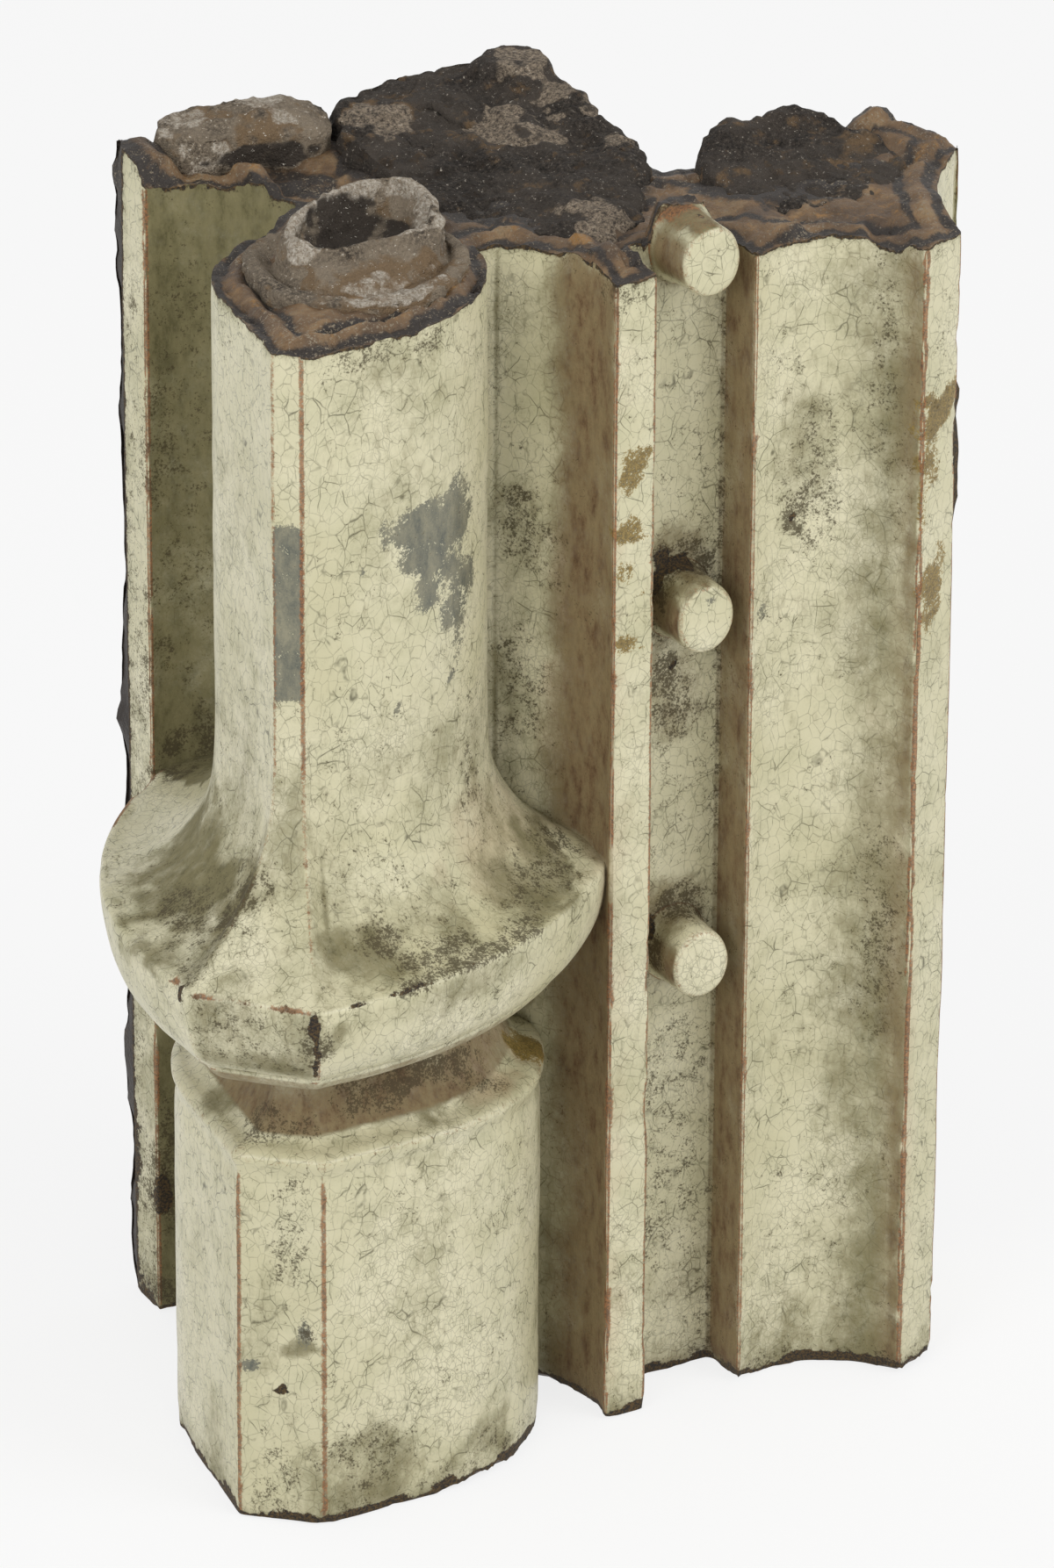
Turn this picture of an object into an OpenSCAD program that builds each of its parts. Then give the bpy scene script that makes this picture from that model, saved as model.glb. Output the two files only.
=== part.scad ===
// Pilaster section: one moulded and glazed terracotta block of a Gothic pier, standing on its
// lower bed, with the mortar that still fills its cells. Millimetres, +Z up.
// Plan points are [x, y] from the corner where the two faces of the shaft would meet:
// x runs along the front face, y runs back into the wall.

/* [Block] */
// Height from the lower bed to the upper bed
block_h = 508; // [460:1:610]
// Thickness of the fired clay around the cells
wall = 28; // [20:1:32]
// Set-back of the main face behind the face of the shaft
face_set = 2; // [0:0.5:6]
// Distance from the shaft's front face to the rough back
body_d = 202; // [200:1:242]
// Width of the body behind the channel, measured to its right side
body_w = 218; // [212:1:235]
// Distance from the shaft's front face to the back of the wing
wing_back = 102; // [94:1:112]
// How far the broken end of the wing leans inwards
wing_lean = 20; // [0:1:30]

/* [Shaft] */
// Width of each face of the shaft, up to its quirk
shaft_w = 114; // [105:1:120]
// Length of the flat part of the shaft's front face, from the nose
shaft_flat = 45; // [40:1:60]
// Radius of the shaft's right corner
shaft_r = 72; // [60:1:84]
// Radius of the shaft's left corner
left_r = 50; // [40:1:60]
// Width of the flat nose on the shaft
shaft_nose = 9; // [6:1:20]
// How far out of square the left face of the shaft and plinth leans, in degrees
left_lean = 7; // [0:0.5:8]
// The same for the left side of the widest edge, which leans the other way
ring_lean = -3; // [-4:0.5:0]

/* [Base moulding] */
// Height of the plinth
plinth_h = 168; // [140:1:190]
// Projection of the plinth beyond the shaft
plinth_out = 19; // [12:1:24]
// Length of the flat part of the plinth's front face, from the nose
plinth_flat = 55; // [45:1:65]
// Radius of the plinth's right corner
plinth_r = 80; // [76:1:100]
// Width of the flat nose on the plinth
plinth_nose = 33; // [20:1:38]
// Height and depth of the rounded lip along the top of the plinth
lip = 4; // [2:0.5:7]
// Height of the neck under the roll, where the hollow is deepest
neck_z = 201; // [190:1:206]
// Height of the lower edge of the roll
roll_z = 217; // [209:1:224]
// Height of the sharp widest edge
ring_z = 254; // [240:1:270]
// Projection of the widest edge beyond the shaft
ring_out = 57; // [48:1:62]
// Radius of the long curve of the widest edge
ring_r = 200; // [170:1:230]
// Width of the flat nose at the widest edge
ring_nose = 56; // [50:1:74]
// Height of the hollow flare above the widest edge
flare_h = 92; // [70:1:130]

/* [Coves and fillets] */
// Width of the right cove
cove_w = 31; // [28:1:40]
// Depth of the right cove behind the main face
cove_d = 56; // [50:1:60]
// Width of the quirk between the shaft and a cove
quirk_w = 9; // [5:0.5:12]
// Hollow of the right cove, measured from its chord
cove_sag = 9.5; // [5:0.5:14]
// Width of the flat fillet beside the channel
fillet_w = 19.5; // [14:0.5:26]
// Width of the left cove along the shaft's left face
left_cove_w = 56; // [50:1:62]
// Set-back of the left fillet behind the shaft's left face
left_set = 25; // [18:1:32]
// Hollow of the left cove, measured from its chord
left_sag = 12; // [6:0.5:16]
// Distance from the left fillet to the bottom of the left cove
left_cove_d = 48; // [42:1:54]

/* [Channel] */
// Width of the sunk channel
channel_w = 44; // [38:0.5:52]
// Depth of the sunk channel
channel_d = 24; // [16:0.5:28]
// Number of studs in the channel
studs = 3; // [1:1:3]
// Height of the lowest stud
stud_z = 200; // [60:1:210]
// Distance between studs
stud_step = 153.5; // [120:0.5:154]
// Width of a stud
stud_w = 26; // [18:0.5:32]
// Height of a stud
stud_h = 30; // [20:0.5:36]
// How far the studs stand to the right of the channel's middle
stud_shift = 2; // [-3:0.5:3]
// Rounding of a stud's front edge
stud_round = 3; // [1:0.5:4]

/* [Wing] */
// Width of the wide cove
wide_cove_w = 62; // [54:1:72]
// Projection of the wing's fillet in front of the main face
wing_out = 26; // [18:1:34]
// Hollow of the wide cove, measured from its chord
wide_sag = 15; // [8:0.5:20]
// Width of the outer fillet
outer_w = 23; // [16:0.5:30]
// Turn of the outer fillet away from the main face, in degrees
outer_turn = 22; // [10:1:30]
// Width of the side cove
side_cove_w = 49; // [42:1:56]
// Depth of the side cove
side_cove_d = 77; // [68:1:84]
// Hollow of the side cove, measured from its chord
side_sag = 11; // [5:0.5:15]

/* [Mortar] */
// Height of the shaft's mortar above the upper bed, at its rim
shaft_lump_h = 18; // [8:1:22]
// How much higher that mortar stands at the back of its rim than at the front
shaft_lump_rise = 10; // [0:1:12]
// Depth of the hollow in the shaft's mortar
crater_d = 13; // [4:1:14]
// Height of the pale mortar that lies on the left of the bed
pale_lump_h = 20; // [8:1:24]
// Height of the mortar over the body, at its highest
body_lump_h = 21; // [10:1:24]
// Height of the mortar over the wing
wing_lump_h = 10; // [5:1:16]

/* [Hidden] */

glaze = [0.82, 0.80, 0.69];
pale_mortar = [0.60, 0.55, 0.49];
dark_mortar = [0.27, 0.25, 0.23];

arc_steps = 10;      // segments along each cove
side_steps = 12;     // segments along each side of a base ring
flare_steps = 10;    // rings in the flare
roll_steps = 6;      // rings in the roll under the widest edge
hollow_steps = 5;    // rings in the hollow over the plinth
stud_sides = 28;     // sides of a stud
lump_rings = 5;      // rings in a mortar lump
flare_power = 3.3;   // how late the flare climbs, at the nose
end_power = 7;       // how late it climbs, at the far ends
roll_swell = 0.72;   // share of the widest edge that the roll's lower edge keeps
lean_from = 32;      // distance along the left side where its lean crosses the true face
cell_r = 22;         // rounding of the shaft's cell
bury = 6;            // how far one form is carried inside another before they are joined

// Arrises of the plan, in the order that they are met from the channel round to the left
fillet_l = [shaft_w + cove_w, face_set];
fillet_r = fillet_l + [fillet_w, 0];
cove_foot = [shaft_w + quirk_w, face_set + cove_d];
channel_y = face_set + channel_d;
channel_x = fillet_r[0] + channel_w;
wing_l = [channel_x, face_set];
outer_l = wing_l + [wide_cove_w, -wing_out];
outer_r = outer_l + outer_w * [cos(outer_turn), sin(outer_turn)];
wing_tip = outer_r + [side_cove_w, side_cove_d];
wing_end = [wing_tip[0] - wing_lean, wing_back];
left_arris = [left_set, shaft_w + left_cove_w];
left_foot = [left_set + left_cove_d, shaft_w + 2 * quirk_w];

// Arc from p to q that swells by sag to the left of the way from p to q
function arc_between(p, q, sag, n = arc_steps) =
    let (d = q - p, c = norm(d), s = abs(sag), r = c * c / (8 * s) + s / 2,
         left = sign(sag) * [-d[1], d[0]] / c, m = (p + q) / 2 + left * (s - r),
         half = asin(c / (2 * r)))
    [for (i = [0 : n]) let (a = half * (2 * i / n - 1))
        m + r * (left * cos(a) + d / c * sin(a))];

// Quarter turn of radius r about m, from angle a0 to a1
function turn(m, r, a0, a1, n = arc_steps) =
    [for (i = [0 : n]) let (a = a0 + (a1 - a0) * i / n) m + r * [cos(a), sin(a)]];

function mix(a, b, m) = a + (b - a) * m;

// One side of a ring of the shaft or base: a straight run from the nose, then an arc of radius r.
// Each point is [along the face, out from the face].
function ring_side(out, nose, run, r, reach) =
    let (last = asin(min(1, (reach - run) / r)))
    concat([[nose / sqrt(2) - out, out]],
           [for (i = [0 : side_steps]) let (a = last * i / side_steps)
               [run + r * sin(a), out - r + r * cos(a)]]);

// A whole ring: the right side, back through the body, and the left side round to the nose
function ring(right, left, lean) =
    let (last = len(right) - 1, slope = tan(lean))
    concat([for (p = right) [p[0], -p[1]]],
           [[right[last][0], inner_y], [inner_x, inner_y], [inner_x, left[last][0]]],
           [for (i = [last : -1 : 0]) let (p = left[i]) [slope * (p[0] - lean_from) - p[1], p[0]]]);

// The ring's own closing corner lies inside the body, behind both coves
inner_x = left_foot[0] + bury;
inner_y = cove_foot[1] + bury;

// Ring between the shaft (m = 0) and the widest edge (m = 1)
left_run = shaft_w - left_r;
ring_end_r = fillet_l[0] + fillet_w / 2;
ring_end_l = left_arris[1] + bury;
function swell(m) =
    let (out = ring_out * m, nose = mix(shaft_nose, ring_nose, m))
    ring(ring_side(out, nose, mix(shaft_flat, 0, m), mix(shaft_r, ring_r, m), mix(shaft_w, ring_end_r, m)),
         ring_side(out, nose, mix(left_run, 0, m), mix(left_r, ring_r, m), mix(shaft_w, ring_end_l, m)),
         mix(left_lean, ring_lean, m));

// Ring between the neck (m = 0) and the plinth (m = 1)
function spread(m) =
    let (out = plinth_out * m, nose = mix(shaft_nose, plinth_nose, m), reach = shaft_w + out)
    ring(ring_side(out, nose, mix(shaft_flat, plinth_flat, m), mix(shaft_r, plinth_r, m), reach),
         ring_side(out, nose, left_run, left_r + out, reach), left_lean);

// The frame's origin is at the middle of the whole block's plan
mid_x = (wing_tip[0] + min([for (p = swell(1)) p[0]])) / 2;
mid_y = (body_d + min([for (p = swell(1)) p[1]])) / 2;

function lift(points, z) = [for (p = points) [p[0], p[1], z]];

// Solid through a list of rings that all have the same number of points, from the lowest up
module loft(rings) {
    n = len(rings[0]);
    k = len(rings);
    polyhedron(
        points = [for (r = rings) each r],
        faces = concat(
            [[for (i = [0 : n - 1]) i]],
            [for (j = [0 : k - 2]) for (i = [0 : n - 1]) let (a = j * n + i, b = j * n + (i + 1) % n)
                each [[a, a + n, b], [b, a + n, b + n]]],
            [[for (i = [n - 1 : -1 : 0]) (k - 1) * n + i]]));
}

// Plan of the body behind the shaft, from the right cove round the wing and the back to the left cove
body_plan = concat(
    [[shaft_w - bury, left_r], [shaft_w - bury, cove_foot[1]]],
    arc_between(cove_foot, fillet_l, cove_sag),
    [fillet_r, [fillet_r[0], channel_y], [channel_x, channel_y]],
    arc_between(wing_l, outer_l, wide_sag),
    arc_between(outer_r, wing_tip, side_sag),
    [wing_end, [body_w, wing_back - wing_lean / 2], [body_w, body_d], [left_set, body_d]],
    arc_between(left_arris, left_foot, left_sag),
    [[left_r, shaft_w], [left_r, shaft_w - bury], [left_r, left_r]]);

// Cells, each a wall's thickness inside the faces around it
shaft_cell = concat(
    turn([wall + cell_r, wall + cell_r], cell_r, 180, 270, 4),
    turn([shaft_w - wall - cell_r / 2, wall + cell_r], cell_r, 270, 360, 4),
    turn([shaft_w - wall - cell_r / 2, shaft_w - wall - cell_r / 2], cell_r, 0, 90, 4),
    turn([wall + cell_r, shaft_w - wall - cell_r / 2], cell_r, 90, 180, 4));
body_cell = [
    [fillet_r[0] - bury, channel_y + wall], [body_w - wall, channel_y + wall],
    [body_w - wall, body_d - wall], [cove_foot[0] + bury, body_d - wall],
    [cove_foot[0] + bury, cove_foot[1] + wall + bury]];
wing_cell = [
    [wing_l[0] + wall, channel_y + wall / 2], [outer_l[0], channel_y + wall / 2],
    [outer_r[0] - wall / 8, wing_back - wall], [wing_l[0] + wall, wing_back - wall]];

// Roughness of broken clay and mortar: a sum of three waves, between -1 and 1
function rough(x, y) =
    (sin(x * 9 + y * 4) + sin(y * 13 - x * 5 + 40) + sin((x + y) * 7 + 110)) / 3;

// Lump of mortar over an outline: it rises from the bed to h, may be hollowed in the middle and
// may stand higher at the back. Each ring is the outline drawn in towards its centre.
module lump(outline, centre, h, hollow, back = 0) {
    n = len(outline);
    edge = 0.15;
    function rise(s) = h * sqrt(1 - pow(s, 4)) - hollow * pow(cos(90 * min(1, s / 0.75)), 2);
    deep = max([for (p = outline) p[1]]) - min([for (p = outline) p[1]]);
    function level(s, p) = max(edge * h, rise(s) + 0.12 * h * rough(p[0], p[1])
                                         + back * (p[1] - centre[1]) / deep * (1 - pow(s, 8)));
    function draw(s) = [for (p = outline) centre + (p - centre) * s];
    shrink = [for (i = [0 : lump_rings - 1]) 1 - pow(i / lump_rings, 1.3)];
    loft(concat([lift(outline, 0)],
                [for (s = shrink) [for (p = draw(s)) [p[0], p[1], level(s, p)]]]));
}

// Height of a point of the flare: it climbs late at the nose and later still at the far ends
function flare_z(m, p) =
    let (far = min(1, max(p[0], p[1]) / ring_end_l))
    ring_z + flare_h * (1 - pow(m, 1 / mix(flare_power, end_power, far)));

// The shaft and its base in one: plinth, lip, hollow, roll, widest edge, flare and plain shaft
module shaft_and_base() {
    loft(concat(
        [lift(spread(1), 0)],
        [for (a = [0 : 30 : 60]) lift(spread(1 - lip / plinth_out * (1 - cos(a))),
                                      plinth_h - lip + lip * sin(a))],
        [for (i = [0 : hollow_steps]) let (a = 90 * i / hollow_steps)
            lift(spread(mix(1 - lip / plinth_out, 0, sin(a))), mix(plinth_h, neck_z, 1 - cos(a)))],
        [for (i = [1 : roll_steps]) let (a = 90 * i / roll_steps)
            lift(swell(mix(0, roll_swell, sin(a))), mix(roll_z, neck_z, cos(a)))],
        [for (i = [1 : roll_steps]) let (a = 90 * i / roll_steps)
            lift(swell(mix(roll_swell, 1, sin(a))), mix(ring_z, roll_z, cos(a)))],
        [for (i = [1 : flare_steps]) let (m = pow(1 - i / flare_steps, 1.6))
            [for (p = swell(m)) [p[0], p[1], flare_z(m, p)]]],
        [lift(swell(0), block_h)]));
}

// Oval stud standing out from the channel's floor, with a rounded front edge
module stud(z) {
    function oval(s, out) = [for (i = [0 : stud_sides - 1]) let (a = 360 * i / stud_sides)
        [channel_x - channel_w / 2 + stud_shift + (stud_w / 2 - s) * cos(a), channel_y - out,
         z + (stud_h / 2 - s) * sin(a)]];
    loft(concat([oval(0, -wall / 2), oval(0, channel_d - stud_round)],
                [for (a = [30 : 30 : 90]) oval(stud_round * (1 - cos(a)),
                                               channel_d - stud_round * (1 - sin(a)))]));
}

module cells() {
    for (plan = [shaft_cell, body_cell, wing_cell])
        translate([0, 0, -1]) linear_extrude(block_h + 2) polygon(plan);
}

module terracotta_block() {
    color(glaze) translate([-mid_x, -mid_y, 0]) difference() {
        union() {
            linear_extrude(block_h) polygon(body_plan);
            shaft_and_base();
            for (i = [0 : studs - 1]) stud(stud_z + i * stud_step);
        }
        cells();
    }
}

module filled_cell(plan) {
    linear_extrude(block_h) polygon(plan);
}

module shaft_mortar() {
    middle = [shaft_w / 2 + bury, shaft_w / 2 + bury];
    outline = [for (a = [0 : 15 : 345]) middle + (shaft_w / 2 - wall + quirk_w) * (1 + cos(a - 60) / 10)
                                                 * [cos(a), sin(a)]];
    color(pale_mortar) translate([-mid_x, -mid_y, 0]) {
        filled_cell(shaft_cell);
        translate([0, 0, block_h]) lump(outline, middle, shaft_lump_h, crater_d, shaft_lump_rise);
    }
}

module pale_bed_mortar() {
    outline = [[37, 181], [50, 174], [66, 169], [80, 160], [94, 152], [106, 156], [112, 172], [112, 190],
               [102, 200], [78, 201], [50, 198], [38, 192]];
    color(pale_mortar) translate([-mid_x, -mid_y, block_h])
        lump(outline, [78, 181], pale_lump_h, 0);
}

module body_mortar() {
    outline = [[116, 142], [112, 112], [120, 84], [134, 58], [152, 42], [174, 44], [196, 50], [212, 68],
               [212, 120], [213, 170], [212, 200], [180, 201], [120, 200], [118, 172]];
    color(dark_mortar) translate([-mid_x, -mid_y, 0]) {
        filled_cell(body_cell);
        translate([0, 0, block_h]) lump(outline, [168, 140], body_lump_h, 0);
    }
}

module wing_mortar() {
    outline = [[222, 44], [236, 30], [262, 26], [284, 32], [300, 50], [306, 72], [300, 96], [270, 99],
               [236, 92], [222, 84]];
    color(dark_mortar) translate([-mid_x, -mid_y, 0]) {
        filled_cell(wing_cell);
        translate([0, 0, block_h]) lump(outline, [262, 62], wing_lump_h, 0);
    }
}

terracotta_block();
shaft_mortar();
pale_bed_mortar();
body_mortar();
wing_mortar();
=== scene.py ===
import math
from itertools import product

import bpy
import numpy as np
from mathutils import Matrix, Vector


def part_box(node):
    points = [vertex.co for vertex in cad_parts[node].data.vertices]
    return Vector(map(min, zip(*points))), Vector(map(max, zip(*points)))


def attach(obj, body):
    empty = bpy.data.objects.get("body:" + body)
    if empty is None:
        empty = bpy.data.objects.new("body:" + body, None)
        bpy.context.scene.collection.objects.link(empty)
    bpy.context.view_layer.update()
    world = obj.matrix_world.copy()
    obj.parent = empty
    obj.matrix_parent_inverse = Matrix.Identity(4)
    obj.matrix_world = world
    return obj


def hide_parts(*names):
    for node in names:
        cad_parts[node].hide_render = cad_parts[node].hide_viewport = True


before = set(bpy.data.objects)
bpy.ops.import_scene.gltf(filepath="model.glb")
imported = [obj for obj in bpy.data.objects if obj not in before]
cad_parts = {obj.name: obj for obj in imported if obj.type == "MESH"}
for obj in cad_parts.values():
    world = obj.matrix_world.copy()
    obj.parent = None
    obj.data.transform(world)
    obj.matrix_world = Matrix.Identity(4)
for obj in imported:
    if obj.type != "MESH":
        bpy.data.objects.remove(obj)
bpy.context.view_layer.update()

# ------------------------------------------------------------------ glazed block: plan and sizes
# A hand-pressed terracotta block, glazed all over its show faces and fired in one piece. The shaft
# with its base moulding, the coves, the fillets and the studded channel are one skin of glaze;
# the beds, the broken back and the wing's broken end are raw clay. Sizes are millimetres.
MM = 0.001
BED = 508.0
BACK = 202.0
FACE_SET = 2.0
SHAFT_W, SHAFT_FLAT, SHAFT_R, LEFT_R, SHAFT_NOSE = 114.0, 45.0, 72.0, 50.0, 9.0
LEFT_LEAN, RING_LEAN, LEAN_FROM = 7.0, -3.0, 32.0
PLINTH_H, PLINTH_OUT, PLINTH_FLAT, PLINTH_R, PLINTH_NOSE, LIP = 168.0, 19.0, 55.0, 80.0, 33.0, 4.0
NECK_Z, ROLL_Z, RING_Z, RING_OUT, RING_R, RING_NOSE = 201.0, 217.0, 254.0, 57.0, 200.0, 56.0
FLARE_H, FLARE_POWER, END_POWER, ROLL_SWELL = 92.0, 3.3, 7.0, 0.72
COVE_FOOT, FILLET_L = (123.0, 58.0), (145.0, FACE_SET)
CHANNEL_L, CHANNEL_R, CHANNEL_Y = 164.5, 208.5, 26.0
OUTER_L = (270.5, -24.0)
OUTER_R = (291.8, -15.4)
WING_TIP, WING_END, BODY_R = (340.8, 61.6), (320.8, 102.0), 218.0
LEFT_ARRIS, LEFT_FOOT = (25.0, 170.0), (73.0, 132.0)
CLAY_TOP, MORTAR_TOP = 529.5, 530.2
UNDER, OVER = -8.0, 540.0            # the skins run past both beds and are then cut to them
STUD_X, STUD_HEIGHTS, STUD_W, STUD_H = 188.5, (200.0, 353.5, 507.0), 26.0, 30.0

# The plan is drawn from the corner where the shaft's two faces would meet. This carries it to the
# frame, whose block ends at the wing's tip and at the back.
block_low, block_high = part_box("terracotta_block")
ORIGIN = np.array([block_high.x / MM - WING_TIP[0], block_high.y / MM - BACK, 0.0])


def noise(p, size, seed):
    """Smooth random field from -1 to 1 over points p: random values on a cubic lattice with
    cells of that size, joined by smoothstep."""
    q = p / size + 100.0
    cell = np.floor(q).astype(np.int64)
    f = q - cell
    f = f * f * (3 - 2 * f)
    total = np.zeros(p.shape[:-1])
    for corner in product((0, 1), repeat=3):
        k = cell + corner
        h = k[..., 0] * 374761393 + k[..., 1] * 668265263 + k[..., 2] * 1440662683 + seed * 974711
        h = (h ^ (h >> 13)) * 1274126177 & 0xFFFFFFFF
        h = (h ^ (h >> 16)) & 0xFFFFFFFF
        share = np.prod(np.where(corner, f, 1 - f), axis=-1)
        total += share * (h / 2147483647.5 - 1)
    return total


def grain(p, size, octaves, seed):
    """Sum of noise fields, each half the size and half the height of the one before."""
    return sum(noise(p, size / 2**i, seed + i) / 2**i for i in range(octaves))


def smooth(a, b, x):
    """0 below a, 1 above b, and an S curve between."""
    t = np.clip((x - a) / (b - a), 0, 1)
    return t * t * (3 - 2 * t)


def arc(p, q, sag=0.0, step=0.5):
    """Points from p towards q, without q, on the arc that swells by sag to the left of the way."""
    p, q = np.array(p, float), np.array(q, float)
    chord = np.hypot(*(q - p))
    n = max(2, int(chord / step))
    along = (q - p) / chord
    if not sag:
        return p + (q - p) * np.arange(n)[:, None] / n
    left = np.array([-along[1], along[0]]) * np.sign(sag)
    r = chord**2 / (8 * abs(sag)) + abs(sag) / 2
    a = math.asin(chord / (2 * r)) * (2 * np.arange(n) / n - 1)
    middle = (p + q) / 2 + left * (abs(sag) - r)
    return middle + r * (left * np.cos(a)[:, None] + along * np.sin(a)[:, None])


def soften(grid, sigma, axis, wrap=False):
    """Gaussian average along one axis of a grid of points, sigma in grid steps."""
    reach = int(3 * sigma) + 1
    weights = np.exp(-((np.arange(-reach, reach + 1) / sigma) ** 2) / 2)
    pad = [(reach, reach) if a == axis else (0, 0) for a in range(grid.ndim)]
    how = {"mode": "wrap"} if wrap else {"mode": "reflect", "reflect_type": "odd"}
    padded = np.pad(grid, pad, **how)
    n = grid.shape[axis]
    parts = (w * np.take(padded, range(i, i + n), axis) for i, w in enumerate(weights))
    return sum(parts) / weights.sum()


def normals(grid, wrap):
    """Outward unit normals of a grid of points whose rows climb and whose columns go round."""
    if wrap:
        across = np.roll(grid, -1, 1) - np.roll(grid, 1, 1)
    else:
        across = np.gradient(grid, axis=1)
    n = np.cross(across, np.gradient(grid, axis=0))
    return n / np.maximum(np.linalg.norm(n, axis=-1, keepdims=True), 1e-9)


def to_object(name, points, faces, material_index=None):
    """A mesh object from plan points in millimetres, moved into the frame and turned to metres."""
    mesh = bpy.data.meshes.new(name)
    mesh.from_pydata(((points.reshape(-1, 3) + ORIGIN) * MM).tolist(), [], faces)
    if material_index is not None:
        mesh.polygons.foreach_set("material_index", np.asarray(material_index, np.int32))
    mesh.update()
    obj = bpy.data.objects.new(name, mesh)
    bpy.context.scene.collection.objects.link(obj)
    return obj


def tube_faces(rows, cols):
    """Quads of a closed tube of rows of points, with a flat cap under it and one over it."""
    i = np.arange(rows - 1)[:, None] * cols
    j = np.arange(cols)[None, :]
    k = (j + 1) % cols
    quads = np.stack(np.broadcast_arrays(i + j, i + k, i + cols + k, i + cols + j), -1).reshape(-1, 4)
    return quads.tolist() + [list(range(cols))[::-1], list(range((rows - 1) * cols, rows * cols))]


# Outline of the body from the right cove round the wing and the back to the left cove
corners = [
    ((108, 50), (108, 58), 0), ((108, 58), COVE_FOOT, 0), (COVE_FOOT, FILLET_L, 9.5),
    (FILLET_L, (CHANNEL_L, FACE_SET), 0), ((CHANNEL_L, FACE_SET), (CHANNEL_L, CHANNEL_Y), 0),
    ((CHANNEL_L, CHANNEL_Y), (CHANNEL_R, CHANNEL_Y), 0), ((CHANNEL_R, CHANNEL_Y), (CHANNEL_R, FACE_SET), 0),
    ((CHANNEL_R, FACE_SET), OUTER_L, 15), (OUTER_L, OUTER_R, 0), (OUTER_R, WING_TIP, 11),
    (WING_TIP, WING_END, 0), (WING_END, (BODY_R, 92), 0), ((BODY_R, 92), (BODY_R, BACK), 0),
    ((BODY_R, BACK), (LEFT_ARRIS[0], BACK), 0), ((LEFT_ARRIS[0], BACK), LEFT_ARRIS, 0),
    (LEFT_ARRIS, LEFT_FOOT, 12), (LEFT_FOOT, (50, 114), 0), ((50, 114), (50, 50), 0),
    ((50, 50), (108, 50), 0),
]
fine = np.vstack([arc(*c) for c in corners])
stretch = np.hypot(*(np.roll(fine, -1, 0) - fine).T)
length = np.concatenate([[0], np.cumsum(stretch)])
even = np.arange(0, length[-1], 0.5)
closed = np.vstack([fine, fine[:1]])
fine = np.stack([np.interp(even, length, closed[:, i]) for i in (0, 1)], -1)
outline = soften(fine, 2.6, 0, wrap=True)

# Columns stand close together at the arrises and wide apart on the hidden back
way = np.roll(outline, -1, 0) - np.roll(outline, 1, 0)
bend = np.abs(np.diff(np.unwrap(np.arctan2(way[:, 1], way[:, 0])), append=0))
bend[-1] = 0
hidden = ((outline[:, 1] > 66) & (outline[:, 0] > 120)) | (outline[:, 1] > 192)
inside_shaft = (outline[:, 0] < 112) & (outline[:, 0] > 40) & (outline[:, 1] < 118)
share = 0.5 / np.where(hidden, 6.5, 3.4) * np.where(inside_shaft, 0.2, 1) + bend * 6
total = np.concatenate([[0], np.cumsum(share)])
count = int(total[-1])
pick = np.interp(np.arange(count) * total[-1] / count, total[:-1], np.arange(len(outline)))
low = np.floor(pick).astype(int)
mixed = (pick - low)[:, None]
plan = outline[low] * (1 - mixed) + outline[(low + 1) % len(outline)] * mixed
back_column = hidden[low]

# The skin: the outline carried up in courses, pushed in and out by the hand that pressed it
heights = np.arange(UNDER, OVER + 1, 4.0)
skin = np.empty((len(heights), count, 3))
skin[..., :2] = plan
skin[..., 2] = heights[:, None]
push = 0.45 * noise(skin, 62, 3) + 0.2 * noise(skin, 17, 4)
arris_points = np.array([FILLET_L, (CHANNEL_L, FACE_SET), (CHANNEL_R, FACE_SET), OUTER_L, OUTER_R,
                         LEFT_ARRIS])
near_arris = np.exp(-(np.linalg.norm(skin[..., None, :2] - arris_points, axis=-1).min(-1) / 2.2) ** 2)
push -= near_arris * 1.1 * smooth(0.25, 0.75, grain(skin, 9, 3, 11))
broken_wing = smooth(14, 4, np.linalg.norm(skin[..., :2] - WING_TIP, axis=-1))
broken_left = smooth(9, 1, np.linalg.norm(skin[..., :2] - (LEFT_ARRIS[0], BACK), axis=-1))
left_on_wing = 3.6 * np.exp(-(((skin[..., 2] - 372) / 30) ** 2))
push += broken_wing * (1.6 * grain(skin, 16, 3, 21) - 3.0 + left_on_wing)
push += broken_left * (3.2 * grain(skin, 22, 4, 31) - 2.2)
push += back_column * (1.2 * grain(skin, 26, 3, 41) - 1.0)
push -= smooth(10, 0, skin[..., 2]) * (0.6 + 1.4 * smooth(-0.2, 0.8, grain(skin, 12, 3, 51)))
push -= smooth(499, 509, skin[..., 2]) * (0.2 + 0.5 * smooth(-0.2, 0.8, grain(skin, 9, 3, 61)))
skin += normals(skin, True) * push[..., None]
skin[..., 0] = np.minimum(skin[..., 0], WING_TIP[0])
skin[..., 1] = np.minimum(skin[..., 1], BACK - 0.2)
skin[0, :, 2], skin[-1, :, 2] = UNDER, OVER
skin_quads = (len(heights) - 1) * count
skin_index = np.zeros(skin_quads + 2, int)
skin_index[:skin_quads] = np.tile(back_column, len(heights) - 1)
body = to_object("glazed_block", skin, tube_faces(len(heights), count), skin_index)


# ------------------------------------------------------------------ glazed block: shaft and base
# The shaft and its base moulding grow from one set of rings: plinth with a lip, hollow, roll,
# widest edge and a flare that dies into the shaft. They are pressed in the same mould.
SIDE, ACROSS = 170, 16                          # points in each side of a ring and across its nose
LEFT_CORNER, RIGHT_CORNER, ROUND = SIDE - 1, SIDE + ACROSS, 2 * SIDE + ACROSS


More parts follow.
